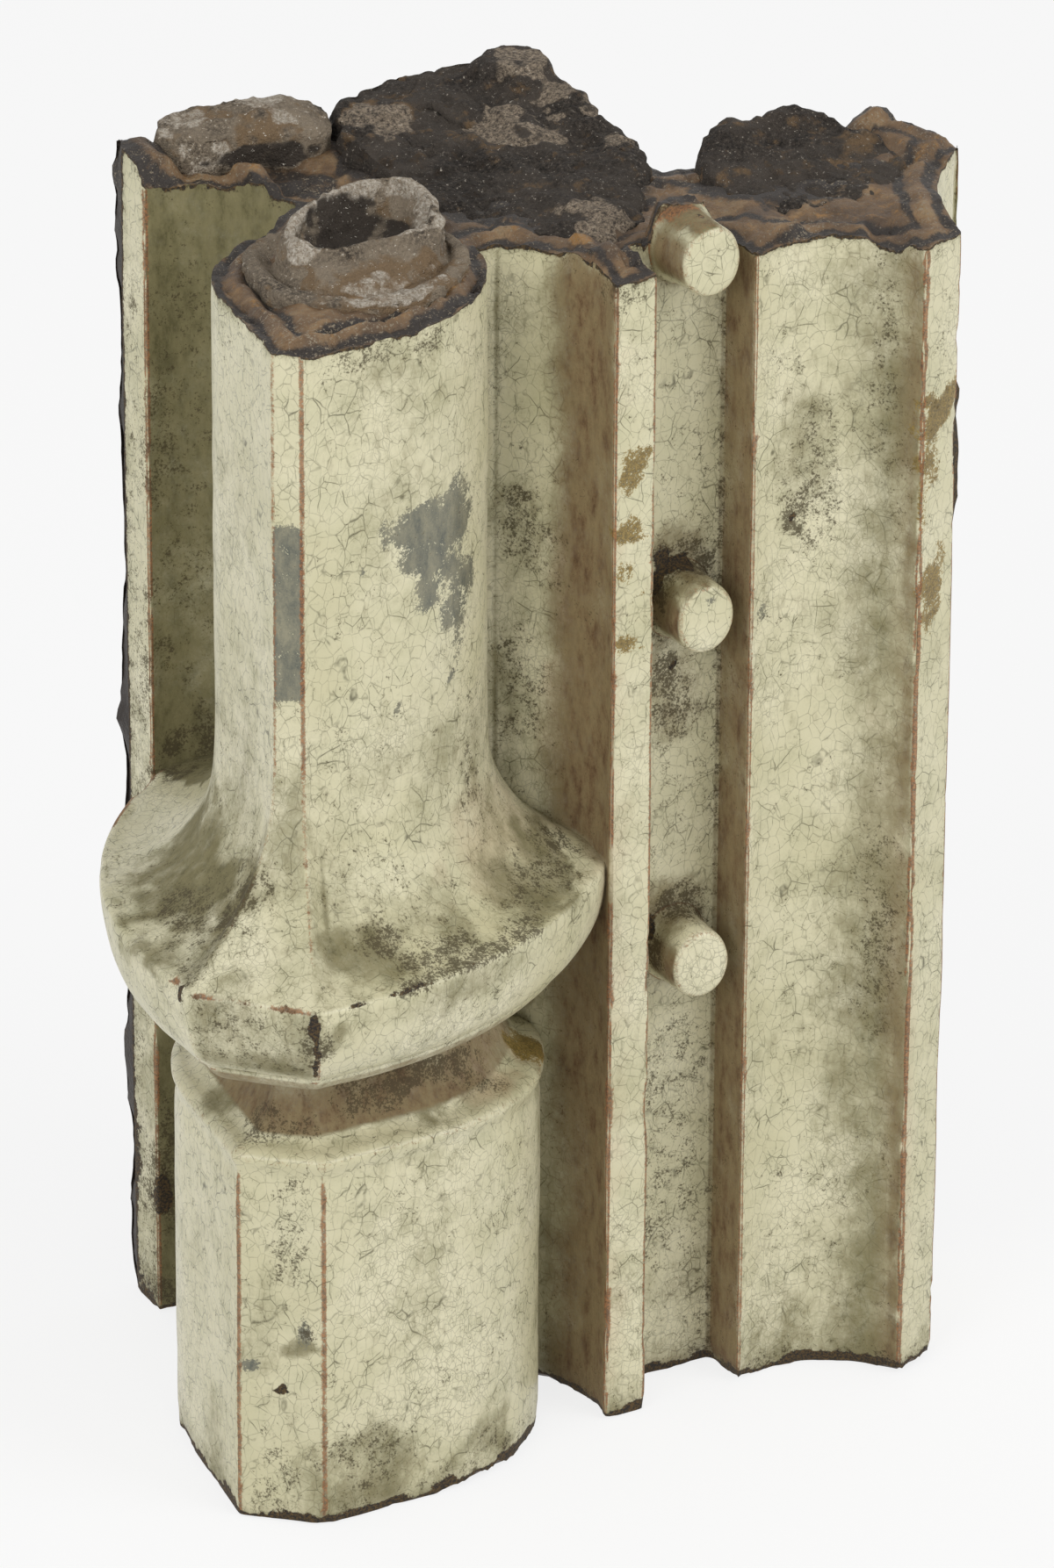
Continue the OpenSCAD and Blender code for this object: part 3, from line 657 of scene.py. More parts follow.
# Grime and shade: where the dark specks gather, with painted shade in the concave creases, in the bowl
# beside the nose and on the nose's face, and painted shadow at the left foot of the studs
grime_and_shade = stains(p, [
    # The rows at (178, 22, 362) and (175, 20, 204) sit at the left foot of the studs: contact dirt and the
    # studs' painted shadow.
    (196, 25, 367, 13, 11, 1.0), (178, 22, 362, 9, 14, 1.0), (192, 25, 216, 14, 12, 0.9),
    (175, 20, 204, 8, 14, 1.0), (186, 26, 322, 7, 9, 1.0), (186, 26, 308, 14, 16, 0.5),
    (186, 26, 120, 22, 90, 0.25), (26, -31, 266, 13, 6, 0.6), (43, -40, 260, 14, 5, 0.7),
    (60, -37, 258, 11, 5, 0.55), (34, -9, 184, 26, 9, 0.9), (62, -6, 186, 22, 8, 0.9),
    (-22, 4, 278, 20, 18, 0.8), (-30, 30, 262, 24, 12, 0.5), (134, 18, 259, 10, 8, 1.0),
    (122, 22, 262, 9, 9, 0.5), (133, 48, 385, 14, 34, 0.6), (131, 50, 320, 12, 34, 0.5),
    (31, 164, 258, 14, 16, 1.0), (60, 150, 262, 30, 16, 0.7), (27, 172, 300, 8, 40, 0.5),
    (25, 186, 316, 20, 150, 0.45), (25, 190, 110, 26, 110, 0.4), (25, 184, 30, 24, 40, 0.35),
    (30, 170, 60, 8, 50, 0.7), (40, 168, 380, 20, 120, 0.35), (22, -19, 26, 20, 20, 0.35),
    (84, -13, 14, 20, 12, 0.35), (-16, -52, 240, 7, 14, 0.9), (-52, -12, 251, 6, 8, 0.8),
    (0, -14, 86, 5, 6, 0.5), (-6, -8, 130, 10, 30, 0.45), (-16, 10, 176, 14, 8, 0.5),
    (-8, -4, 176, 14, 8, 0.6), (90, -4, 180, 24, 10, 0.5), (223, 6, 455, 10, 14, 0.5),
    (230, 6, 388, 7, 12, 0.75), (236, 5, 404, 16, 40, 0.4), (262, -10, 440, 12, 60, 0.4),
    (262, -10, 200, 10, 60, 0.35), (281, -19, 440, 9, 60, 0.35), (90, 14, 300, 10, 50, 0.3),
    (148, 2, 500, 20, 8, 0.45), (215, 3, 500, 12, 8, 0.4), (50, 0, 500, 40, 8, 0.5),
    (-16, -8, 30, 8, 40, 0.35)])
grime_and_shade = np.maximum.reduce([grime_and_shade, 0.35 * crease, 0.5 * valley, 0.7 * rim_wide,
                           0.8 * edge_dirt * smooth(-0.3, 0.3, noise(p, 14, 314))])
grime_and_shade += 0.1 + 0.14 * in_channel + 0.16 * noise(p, 30, 311) + 0.12 * noise(p, 11, 312)
grime_and_shade += 0.45 * smooth(20, 0, z) * (0.6 + noise(p, 9, 313))
grime_and_shade *= (1 - 0.8 * stud_face) * (1 - 0.45 * nose_facet * smooth(RING_Z + 4, RING_Z + 12, z))
grime_and_shade = np.maximum.reduce([grime_and_shade, 0.5 * left_bowl, 0.45 * nose_face])
grime_and_shade += 0.12 * (z > RING_Z - 2) * (z < 300) * (x < 130) * (y < 110)

# Lead and ochre: smears of grey lead and of old yellow-brown paint
lead = np.maximum(stains(p, [
    (49, 0, 423, 12, 9, 0.62), (64, 3, 412, 17, 22, 0.68), (80, 8, 425, 10, 26, 0.66),
    (77, 8, 385, 10, 24, 0.62), (60, 1.5, 392, 10, 12, 0.55), (33.5, 0, 408.5, 2.6, 3.6, 0.8),
    (75, 7, 351, 3, 3.5, 0.8), (49, 0.5, 347, 1.8, 4, 0.85), (215, 4.5, 351, 4.2, 7, 0.7),
    (189.4, 2, 360.3, 3, 3, 0.8), (-18.3, 1.6, 70.9, 4.6, 3.4, 0.95), (-1.5, -13, 86, 4, 9, 0.6),
    (72, 5, 402, 22, 34, 0.5), (80, 9, 372, 10, 26, 0.4)]),
    nose_panel * smooth(434.5, 433, z) * smooth(358.5, 360, z) * 0.86)
ochre = stains(p, [
    (155, 2, 424, 8, 12, 0.7), (161, 2, 432, 3, 6, 0.6), (153, 2, 400, 8, 6, 0.7),
    (159, 2, 396, 4, 4, 0.6), (151, 2, 382, 5, 7, 0.6), (158, 2, 371, 3, 4, 0.55),
    (151, 2, 351, 7, 6, 0.76), (159, 2, 349, 4, 3, 0.5), (283, -18.5, 434, 16, 14, 1.0),
    (279, -21, 414, 9, 16, 0.7), (280, -20, 354, 9, 24, 0.75), (284, -18, 372, 4, 9, 0.5),
    (272, -23, 395, 3, 20, 0.5), (121, 26, 170, 14, 9, 0.95), (118, 20, 178, 9, 9, 0.8)])

# Rust: the clay's own colour, where the glaze is worn thin along the arrises
on_nose = np.maximum(0.62 * smooth(2.0, 0.3, left_gap), 0.8 * smooth(2.0, 0.4, right_gap))
on_nose *= np.select([(z > PLINTH_H) & (z < 225), (z > 225) & (z < RING_Z), (z > RING_Z) & (z < 330)],
                     [0.0, 0.6, 0.75], 1.0)
off_nose = smooth(6, 14, np.minimum(left_gap, right_gap) + 20 * (z < RING_Z))
rust = np.maximum(arris * off_nose * 0.85, on_nose)
rust *= np.where((np.abs(z - RING_Z) < 12) & (x < -14) & (y > -8) & (y < 170), 0.25, 1.0)
rust = np.maximum(rust, stains(p, [
    (188, 18, 521, 15, 8, 0.8), (178, 12, 514, 6, 10, 0.6), (198, 14, 515, 6, 10, 0.5)]))
rust *= np.where((y < 22) & (x > 172) & (x < 205), 0.55, 1.0)
rust *= np.where((np.abs(z - RING_Z + 4) < 14) & (x > -60) & (x < 150) & (y < 40), 0.25, 1.0)
rust *= np.where((z < PLINTH_H + 4) & (z > PLINTH_H - 10) & (x < 140), 0.45, 1.0)

# Blush, black and brown: pink stain in the glaze, dark chips and edges, dark dirt with the studs' painted
# shadow at their left foot, and where the film turns brown
blush = stains(p, [
    (144, 32, 350, 14, 60, 0.9), (142, 36, 300, 14, 40, 0.6), (100, 4, 275, 34, 24, 0.6),
    (118, 20, 176, 16, 12, 0.8), (92, 0, 182, 26, 14, 1.0), (20, -6, 200, 40, 8, 0.5),
    (146, 10, 200, 10, 250, 0.45), (270, -22, 120, 6, 110, 0.35), (264, -12, 250, 8, 100, 0.25)])
black = stains(p, [
    # The rows at x 170 to 178 beside the two lower studs are contact dirt and the studs' painted shadow.
    (178, 25, 362, 8, 13, 0.95), (170, 26, 356, 7, 16, 0.9), (186, 26, 370, 11, 5, 0.75),
    (176, 25, 208, 7, 11, 0.8), (341, 62, 385, 9, 52, 0.85), (341, 62, 300, 8, 20, 0.6),
    (285, -18, 461, 9, 1.6, 0.75), (26, 184, 60, 12, 60, 0.26), (27, 170, 180, 4, 60, 0.45),
    (186.4, 26.2, 324.5, 2.6, 3.2, 1.0), (-17.5, -54.5, 247, 3.0, 8, 0.95),
    (-17.5, -54.5, 232, 2.4, 14, 0.66), (-54, -11, 252, 2.6, 7, 0.9), (229.7, 6.3, 387.5, 2.2, 3.5, 0.9),
    (223.2, 6.4, 455, 1.4, 1.8, 0.9), (-9.3, -7.5, 61.5, 8, 2.2, 0.9), (200, 20, 60, 3, 3, 0.6),
    (27, 170, 56, 5, 14, 0.75), (25, 196, 90, 12, 90, 0.45), (25, 194, 8, 20, 10, 0.5),
    (24, 200, 300, 6, 300, 0.55)])
black = np.maximum.reduce([black, 0.9 * np.minimum(rim, 1), 0.8 * corner_stain, 0.6 * edge_line * (x > -14),
                           0.85 * smooth(8, 2, z - 4 * noise(p, 10, 315))])
rust = np.maximum(rust, 0.95 * edge_line * (x < -14))
brown = np.maximum.reduce([wall, in_channel * 0.5, smooth(132, 146, x) * right_cove, hollow * 0.9])
paint(block.data, "dirt_and_shade", film_and_shade, grime_and_shade, lead, ochre)
paint(block.data, "marks", rust * (1 - 0.9 * hollow), black, blush, brown)


def ragged(tree, mask, breaker, low, high, amount=1.1, cover=1.0):
    """Share of a coat whose edge a noise breaks up: 0 where the mask and the noise's part stay
    under low together, cover where they pass high, and an S curve between."""
    centred = add(tree, "ShaderNodeMath", {0: breaker, 1: 0.5}, operation="SUBTRACT").outputs[0]
    summed = add(tree, "ShaderNodeMath", {0: centred, 1: amount, 2: mask}, operation="MULTIPLY_ADD")
    ends = {"Value": summed.outputs[0], "From Min": low, "From Max": high, "To Max": cover}
    return add(tree, "ShaderNodeMapRange", ends, interpolation_type="SMOOTHSTEP").outputs[0]


# A ramp moves its value from one range to another and holds it at the ends
RAMP = ("Value", "From Min", "From Max", "To Min", "To Max")

# Crackled lead glaze: cream with a green cast, glossy, over clay that shows rust-orange where it is
# worn. It gives the eye a web of hair cracks about 5 mm apart, a few long dark ones among them.
WEBS = ((9.0, 0.30, 0.85), (4.6, 0.24, 0.55), (2.8, 0.19, 0.4))     # cell, width in mm; how dark
glaze = slots[0]
glaze.use_nodes = True
tree = glaze.node_tree
shader = tree.nodes["Principled BSDF"]
place = add(tree, "ShaderNodeTexCoord").outputs["Object"]
dirt_and_shade = add(tree, "ShaderNodeAttribute", attribute_name="dirt_and_shade")
film_and_shade_at, grime_and_shade_at, lead_at = add(tree, "ShaderNodeSeparateColor", {0: dirt_and_shade.outputs["Color"]}).outputs[:3]
ochre_at = dirt_and_shade.outputs["Alpha"]
marks = add(tree, "ShaderNodeAttribute", attribute_name="marks")
rust_at, black_at, blush_at = add(tree, "ShaderNodeSeparateColor", {0: marks.outputs["Color"]}).outputs[:3]
brown_at = marks.outputs["Alpha"]

streak_place = add(tree, "ShaderNodeMapping", {"Vector": place, "Scale": (1, 1, 0.42)}).outputs[0]
broad, middling, small, fine_grain, streaks, ripple = [
    add(tree, "ShaderNodeTexNoise", {"Vector": where, "Scale": 1 / (lump * MM), "Detail": detail,
                                     "Roughness": roughness}).outputs[0]
    for where, lump, detail, roughness in (
        (place, 60, 2, 0.6), (place, 16, 4, 0.65), (place, 5, 4, 0.7), (place, 1.1, 3, 0.75),
        (streak_place, 5, 4, 0.7), (place, 4, 2, 0.6))]

# Breakers for the edges of the coats, mixed from the noises: a share of one and of the next
half_small = add(tree, "ShaderNodeMath", {0: small, 1: 0.45}, operation="MULTIPLY")
granular = add(tree, "ShaderNodeMath", {0: fine_grain, 1: 0.55, 2: half_small.outputs[0]},
               operation="MULTIPLY_ADD").outputs[0]
half_granular = add(tree, "ShaderNodeMath", {0: granular, 1: 0.5}, operation="MULTIPLY")
mottled = add(tree, "ShaderNodeMath", {0: middling, 1: 0.5, 2: half_granular.outputs[0]},
              operation="MULTIPLY_ADD").outputs[0]
even_tone = add(tree, "ShaderNodeMath", {0: streaks, 1: granular}, operation="ADD").outputs[0]

(base_tone, cool_patch, drab_patch, light_or_dark, ochre_grain, rust_grain, black_grain, blush_share,
 streak_mask, grime_and_shade_mask, *web_masks) = [
    add(tree, "ShaderNodeMapRange", dict(zip(RAMP, row))).outputs[0] for row in (
        (broad, 0.35, 0.65), (middling, 0.42, 0.68, 0, 0.5), (small, 0.5, 0.75, 0, 0.35),
        (even_tone, 0.78, 1.22), (fine_grain, 0.4, 0.62), (fine_grain, 0.42, 0.6), (fine_grain, 0.45, 0.6),
        (blush_at, 0, 1, 0, 0.42), (film_and_shade_at, 0, 0.7, 0, 0.34), (grime_and_shade_at, 0, 1, 0, 0.3),
        (middling, 0.47, 0.6), (small, 0.36, 0.58, 0.3, 1), (broad, 0.5, 0.62))]

# The crackle: the edges of three nets of cells, each net pulled about and seen only in its own places
wander = add(tree, "ShaderNodeTexNoise", {"Vector": place, "Scale": 1 / (14 * MM), "Detail": 2.0})
wander = add(tree, "ShaderNodeVectorMath", {0: wander.outputs["Color"], 1: (0.5,) * 3}, operation="SUBTRACT")
wander = add(tree, "ShaderNodeVectorMath", {0: wander.outputs[0], 1: (6 * MM,) * 3, 2: place},
             operation="MULTIPLY_ADD").outputs[0]
tall = add(tree, "ShaderNodeMapping", {"Vector": wander, "Scale": (1, 1, 0.72)}).outputs[0]
EDGE_AT, FADED_AT = 0.15, 0.8        # shares of a crack's width where it is darkest and where it ends
crackle = 0.0
for (cell, width, seen), mask in zip(WEBS, web_masks):
    web = add(tree, "ShaderNodeTexVoronoi", {"Vector": tall, "Scale": 1 / (cell * MM), "Randomness": 0.82},
              feature="DISTANCE_TO_EDGE").outputs["Distance"]
    row = (web, width / cell * EDGE_AT, width / cell * FADED_AT, seen, 0)
    line = add(tree, "ShaderNodeMapRange", dict(zip(RAMP, row))).outputs[0]
    line = add(tree, "ShaderNodeMath", {0: line, 1: mask}, operation="MULTIPLY").outputs[0]
    crackle = add(tree, "ShaderNodeMath", {0: line, 1: crackle}, operation="MAXIMUM").outputs[0]

# How much of the glaze each coat covers, then the colours of the coats, each from dark to pale
film_and_shade_share = ragged(tree, film_and_shade_at, mottled, 0.05, 1.0, 1.7)
streak_share = ragged(tree, streak_mask, streaks, 0.12, 0.5, 1.4, 0.45)
lead_share = ragged(tree, lead_at, granular, 0.42, 0.6, 3.0)
ochre_share = ragged(tree, ochre_at, granular, 0.42, 0.58, 2.4)
rust_share = ragged(tree, rust_at, granular, 0.38, 0.8, 1.9, 0.85)
speck_share = ragged(tree, grime_and_shade_mask, granular, 0.17, 0.32, 1.75)
black_share = ragged(tree, black_at, small, 0.45, 0.6, 1.3)
faint_specks = add(tree, "ShaderNodeMath", {0: speck_share, 1: 0.78}, operation="MULTIPLY").outputs[0]

cream, green_film_and_shade, brown_film_and_shade, lead_tone, ochre_tone, rust_tone, black_tone = [
    add(tree, "ShaderNodeMix", {0: share, 6: linear(low), 7: linear(high)}, data_type="RGBA").outputs[2]
    for share, low, high in (
        (base_tone, "#C8C29E", "#DAD4B5"), (light_or_dark, "#575131", "#857F58"),
        (light_or_dark, "#594127", "#957C58"), (light_or_dark, "#55584E", "#8A866F"),
        (ochre_grain, "#5C4D24", "#967F45"), (rust_grain, "#4E3220", "#9E6A40"),
        (black_grain, "#1C150B", "#54401F"))]
film_and_shade_tone = add(tree, "ShaderNodeMix", {0: brown_at, 6: green_film_and_shade, 7: brown_film_and_shade},
                data_type="RGBA").outputs[2]
colour = cream
for share, coat in ((cool_patch, linear("#BFBC98")), (drab_patch, linear("#B3AE8C")),
                    (crackle, linear("#565239")), (blush_share, linear("#A67F60")), (film_and_shade_share, film_and_shade_tone),
                    (streak_share, linear("#79704F")), (lead_share, lead_tone), (ochre_share, ochre_tone),
                    (rust_share, rust_tone), (faint_specks, linear("#392E16")), (black_share, black_tone)):
    colour = add(tree, "ShaderNodeMix", {0: share, 6: colour, 7: coat}, data_type="RGBA").outputs[2]
tree.links.new(colour, shader.inputs["Base Color"])

dull = film_and_shade_share
for share in (speck_share, black_share, rust_share):
    dull = add(tree, "ShaderNodeMath", {0: dull, 1: share}, operation="MAXIMUM").outputs[0]
gloss = add(tree, "ShaderNodeMapRange", {"Value": dull, "To Min": 0.36, "To Max": 0.85})
tree.links.new(gloss.outputs[0], shader.inputs["Roughness"])
shader.inputs["IOR"].default_value = 1.55
relief = add(tree, "ShaderNodeBump", {"Strength": 0.5, "Distance": 0.5 * MM, "Height": ripple})
tree.links.new(relief.outputs[0], shader.inputs["Normal"])

# Raw terracotta: fired, unglazed and broken. It gives the eye brown and orange clay with a coarse
# torn grain, sooty in the hollows and dusted with lime; the dust on the ridge behind the glazed edge also
# paints its highlight.
clay = slots[1]
clay.use_nodes = True
tree = clay.node_tree
shader = tree.nodes["Principled BSDF"]
place = add(tree, "ShaderNodeTexCoord").outputs["Object"]
marks = add(tree, "ShaderNodeAttribute", attribute_name="clay_tone")
soot_at, orange_at, dust_and_highlight_at = add(tree, "ShaderNodeSeparateColor", {0: marks.outputs["Color"]}).outputs[:3]
broad, small, fine_grain, rough = [
    add(tree, "ShaderNodeTexNoise", {"Vector": place, "Scale": 1 / (lump * MM), "Detail": detail,
                                     "Roughness": roughness}).outputs[0]
    for lump, detail, roughness in ((22, 3, 0.6), (5, 4, 0.7), (1.4, 3, 0.8), (3, 3, 0.75))]
base_tone, dust_and_highlight_mask, tan_mask, pits = [
    add(tree, "ShaderNodeMapRange", dict(zip(RAMP, row))).outputs[0] for row in (
        (broad, 0.38, 0.62), (dust_and_highlight_at, 0, 1, 0, 0.3), (small, 0, 1, 0, 0.5),
        (fine_grain, 0.52, 0.7, 0, 0.6))]
colour = linear("#4D3B29")
for share, coat in ((base_tone, "#7B6041"), (ragged(tree, orange_at, small, 0.4, 0.75), "#926C3A"),
                    (ragged(tree, tan_mask, broad, 0.3, 0.5), "#8A7354"),
                    (ragged(tree, soot_at, small, 0.35, 0.75), "#241C15"),
                    (ragged(tree, dust_and_highlight_mask, fine_grain, 0.22, 0.34), "#B3A58C"), (pits, "#34291F")):
    colour = add(tree, "ShaderNodeMix", {0: share, 6: colour, 7: linear(coat)}, data_type="RGBA").outputs[2]
tree.links.new(colour, shader.inputs["Base Color"])
shader.inputs["Roughness"].default_value = 0.6
relief = add(tree, "ShaderNodeBump", {"Strength": 1.0, "Distance": 1.4 * MM, "Height": rough})
tree.links.new(relief.outputs[0], shader.inputs["Normal"])

# On the bed: soot in the troughs and round the cells, orange clay where it broke fresh, lime dust on top,
# laid thicker on the ridge behind the glazed edge, where it also paints the ridge's highlight
at_top = np.flatnonzero(z > 470)
depth_in = np.full(len(p), 50.0)
depth_in[at_top] = rim_distance(p[at_top], top_edge)
depth_in += 1.8 * noise(p * (1, 1, 0), 16, 342) + 1.0 * noise(p, 6, 343)
trough = np.exp(-(((depth_in - 3.0) / 3.2) ** 2))
trough = np.maximum(trough, 0.9 * np.exp(-(((depth_in - 15.5) / 3.2) ** 2)))
ridge = np.exp(-(((depth_in - 9.5) / 2.8) ** 2))
in_plan = p * (1, 1, 0)
sooty = 0.6 * smooth(490, 400, z)
for strength, *oval, edge in ((0.95, 164, 136, 58, 74, 0.4), (0.9, 260, 66, 44, 34, 0.4),
                              (0.8, 84, 150, 18, 26, 0.5), (0.9, 30, 192, 16, 20, 0.6)):
    sooty = np.maximum(sooty, strength * blob(in_plan, *oval, edge=edge))
sooty = np.maximum(sooty * (1 - 0.6 * ridge), 0.95 * trough * smooth(470, 490, z)) + 0.15 * noise(p, 24, 331)
orange = stains(p, [
    (60, 24, 504, 34, 10, 0.4), (20, 60, 505, 16, 12, 0.4), (153, 38, 512, 8, 10, 0.8),
    (137, 70, 509, 10, 10, 0.7), (166, 20, 510, 8, 10, 0.8), (215, 40, 508, 22, 12, 0.4),
    (192, 14, 522, 16, 9, 0.6), (262, 12, 507, 46, 12, 0.45), (322, 55, 508, 26, 14, 0.5),
    (70, 160, 510, 8, 10, 0.8), (36, 172, 509, 12, 14, 0.45), (58, 146, 508, 22, 10, 0.6)])
orange = np.maximum(orange, 0.5 * ridge * smooth(480, 495, z)) * (1 - 0.6 * np.clip(sooty, 0, 1))
# The ridge term adds a painted highlight to the lime dust along the ridge.
dust_and_highlight = smooth(480, 505, z) * (0.42 + 0.12 * ridge) + 0.2 * noise(p, 18, 341)
paint(block.data, "clay_tone", sooty, orange, dust_and_highlight, 0.0)
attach(block, "root")
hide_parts("terracotta_block")


# ------------------------------------------------------------------ mortar in the shaft's cell
# Pale lime mortar that filled the shaft's cell and squeezed up around the cramp that stood in it.
# The cramp was pulled out and left a crater with a broken rim; a lip of mortar runs round it.
def pile(name, centre, rings, between, rough_size, rough_height, seed, spokes, raised=None):
    """Closed heap of mortar: rings of points about a centre, each ring a radius and a height above
    the upper bed at twelve even angles, with more rings put between them, raised by a height over
    the plan where one is given, roughened, and kept in the block's own plan and height."""
    knots = np.arange(len(rings))
    t = np.concatenate([k + np.arange(n) / n for k, n in zip(knots, between)] + [[knots[-1]]])
    a = np.linspace(0, 2 * np.pi, spokes, endpoint=False)
    hours = np.arange(13) * np.pi / 6
    table = np.array([[np.broadcast_to(v, 12) for v in ring] for ring in rings], float)
    table = np.concatenate([table, table[..., :1]], -1)
    by_angle = np.stack([[np.interp(a, hours, v) for v in ring] for ring in table])
    by_angle = soften(by_angle, spokes / 40, 2, wrap=True)
    k = np.minimum(t.astype(int), len(rings) - 2)
    r, z = np.moveaxis(mix(by_angle[k], by_angle[k + 1], (t - k)[:, None, None]), 1, 0)
    p = np.stack([centre[0] + r * np.cos(a), centre[1] + r * np.sin(a), BED + z], -1)
    loose = smooth(BED - 12, BED - 4, p[..., 2])
    if raised:
        p[..., 2] += smooth(BED - 3, BED + 2, p[..., 2]) * raised(p)
    rough = grain(p, rough_size, 4, seed) + 0.6 * (1 - 2 * np.abs(noise(p, rough_size * 0.6, seed + 9)))
    rough += 0.35 * noise(p, 2.6, seed + 12)
    p = p + normals(p, True) * (loose * rough_height * rough)[..., None]
    edge = 0.6 + 0.5 * noise(p, 7, seed + 15)
    p[..., 1] = np.minimum(p[..., 1], BACK - edge)
    p[..., 2] = np.minimum(p[..., 2], MORTAR_TOP - edge * 0.5)
    return to_object(name, p, tube_faces(*p.shape[:2]))


cell_r = np.array([23, 25, 22, 18, 22, 25, 23, 25, 22, 18, 22, 25])
lip_r = np.array([38, 43, 39, 35, 39, 46, 48, 55, 53, 49, 44, 41])
base_r = np.array([34, 39, 31, 26, 26, 31, 38, 42, 40, 34, 31, 32])
crest_r = np.array([28, 33, 24, 18, 18, 22, 33, 28, 19, 16, 21, 28])
crest_h = np.array([20, 22, 21.8, 21.5, 21, 19, 15, 14, 13.5, 13.5, 14, 17])
shaft_mortar = pile(
    "shaft_mortar_heap", (70, 70),
    [(0.4, -BED), (cell_r, -BED), (cell_r, -14), (lip_r + 2, -12), (lip_r + 1, -3), (lip_r, 1.6),
     (lip_r - 5, 2.4), (base_r + 2, -0.6), (base_r - 1, 2.5), (crest_r + 4, crest_h - 3.5),
     (crest_r + 1, crest_h), (crest_r - 1, crest_h - 0.5), (crest_r - 2.5, crest_h - 6),
     (crest_r * 0.72, 5), (crest_r * 0.35, 3), (0.4, 4)],
    (1, 1, 1, 3, 4, 4, 5, 5, 10, 5, 4, 6, 7, 6, 5), 9, 1.0, 120, 260)

# ------------------------------------------------------------------ mortar on the left of the bed
# A patch of the same lime mortar left on the bed behind the left cove, flat on top where the next
# block sat on it and crumbling at its edges.
patch_r = np.array([42, 30, 16, 12, 15, 27, 37, 25, 14, 11.5, 17, 36])
patch_h = np.array([13, 16, 17, 17, 17, 17, 16, 14, 14, 14, 13, 12])
pale_patch = pile(
    "pale_bed_mortar_patch", (76, 190),
    [(0.4, -7), (patch_r * 0.97, -6), (patch_r, 3), (patch_r * 1.02, 7), (patch_r * 0.97, patch_h - 1.5),
     (patch_r * 0.86, patch_h), (patch_r * 0.4, 17.5), (0.4, 17)],
    (1, 4, 4, 6, 7, 12, 9), 12, 1.3, 140, 220)

# ------------------------------------------------------------------ mortar over the body's cell
# Sooty mortar and rubble heaped over the body's cell and torn off rough, highest at the back right
# corner, with paler smooth patches where it parted cleanly from the block above.
heap_cell = np.array([36, 38, 40, 42, 48, 44, 36, 42, 50, 56, 50, 40])
heap_r = np.array([48, 54, 80, 72, 82, 60, 50, 55, 60, 99, 60, 56])
heap_h = np.array([2, 6, 13, 11, 9, 5, 0.5, -1.0, -1.5, -0.5, -1.0, 0.5])
heap_top = np.array([5, 9, 14, 12, 10, 6, 2, 0.8, 0.5, 1.5, 1.0, 2.5])


def torn(p):
    """Height added over the body's cell: the peak at the back right corner, plates of mortar that
    broke off level, and the smooth lobe behind the studs."""
    peak = 11 * blob(p, 197, 182, 15, 13, edge=1.1) + 3 * blob(p, 206, 150, 9, 26, edge=0.8)
    flat = p * (1, 1, 0)
    plates = 2.2 * smooth(-0.06, 0.06, noise(flat, 34, 120))
    plates += 1.3 * smooth(-0.07, 0.07, noise(flat, 15, 121))
    lobe = blob(p, 168, 42, 14, 21, edge=0.5)
    flush = smooth(90, 150, p[..., 1] + 0.35 * (p[..., 0] - 110))
    return peak + plates * (1 - lobe) * (0.25 + 0.75 * flush) + 3.2 * lobe


dark_heap = pile(
    "body_mortar_heap", (166, 130),
    [(0.4, -BED), (heap_cell, -BED), (heap_cell, -16), (heap_r + 1, -12), (heap_r, -2),
     (heap_r * 0.975, heap_h), (heap_r * 0.88, heap_top), (heap_r * 0.5, heap_top * 0.55 + 2), (0.4, 4.5)],
    (1, 1, 1, 3, 6, 10, 34, 34), 15, 2.0, 160, 340, torn)

# ------------------------------------------------------------------ mortar in the wing's cell
# The same sooty mortar in the wing's cell, level with the clay in front and broken off in a low
# ridge behind.
wing_cell = np.array([20, 17, 11, 8, 11, 17, 20, 17, 14, 12, 14, 17])
wing_r = np.array([47, 44, 42, 40, 42, 40, 36, 36, 38, 34, 35, 39])
wing_h = np.array([0, 3, 8, 8, 8, 6, 0, -1.5, -2, -2, -2, -1])


def torn_wing(p):
    """Height added over the wing's cell: a ridge along its broken back edge, and plates."""
    ridge = 3 * blob(p, 252, 96, 12, 8, edge=1.0) + 4 * blob(p, 286, 98, 16, 8, edge=1.0)
    return ridge + 1.4 * smooth(-0.06, 0.06, noise(p * (1, 1, 0), 22, 130)) * smooth(35, 70, p[..., 1])


wing_heap = pile(
    "wing_mortar_heap", (264, 64),
    [(0.4, -BED), (wing_cell, -BED), (wing_cell, -16), (wing_r + 1, -12), (wing_r, -3),
     (wing_r * 0.96, wing_h), (wing_r * 0.82, wing_h + 1), (wing_r * 0.45, wing_h * 0.5 + 1.2), (0.4, 2)],
    (1, 1, 1, 3, 5, 9, 18, 16), 13, 1.7, 180, 240, torn_wing)

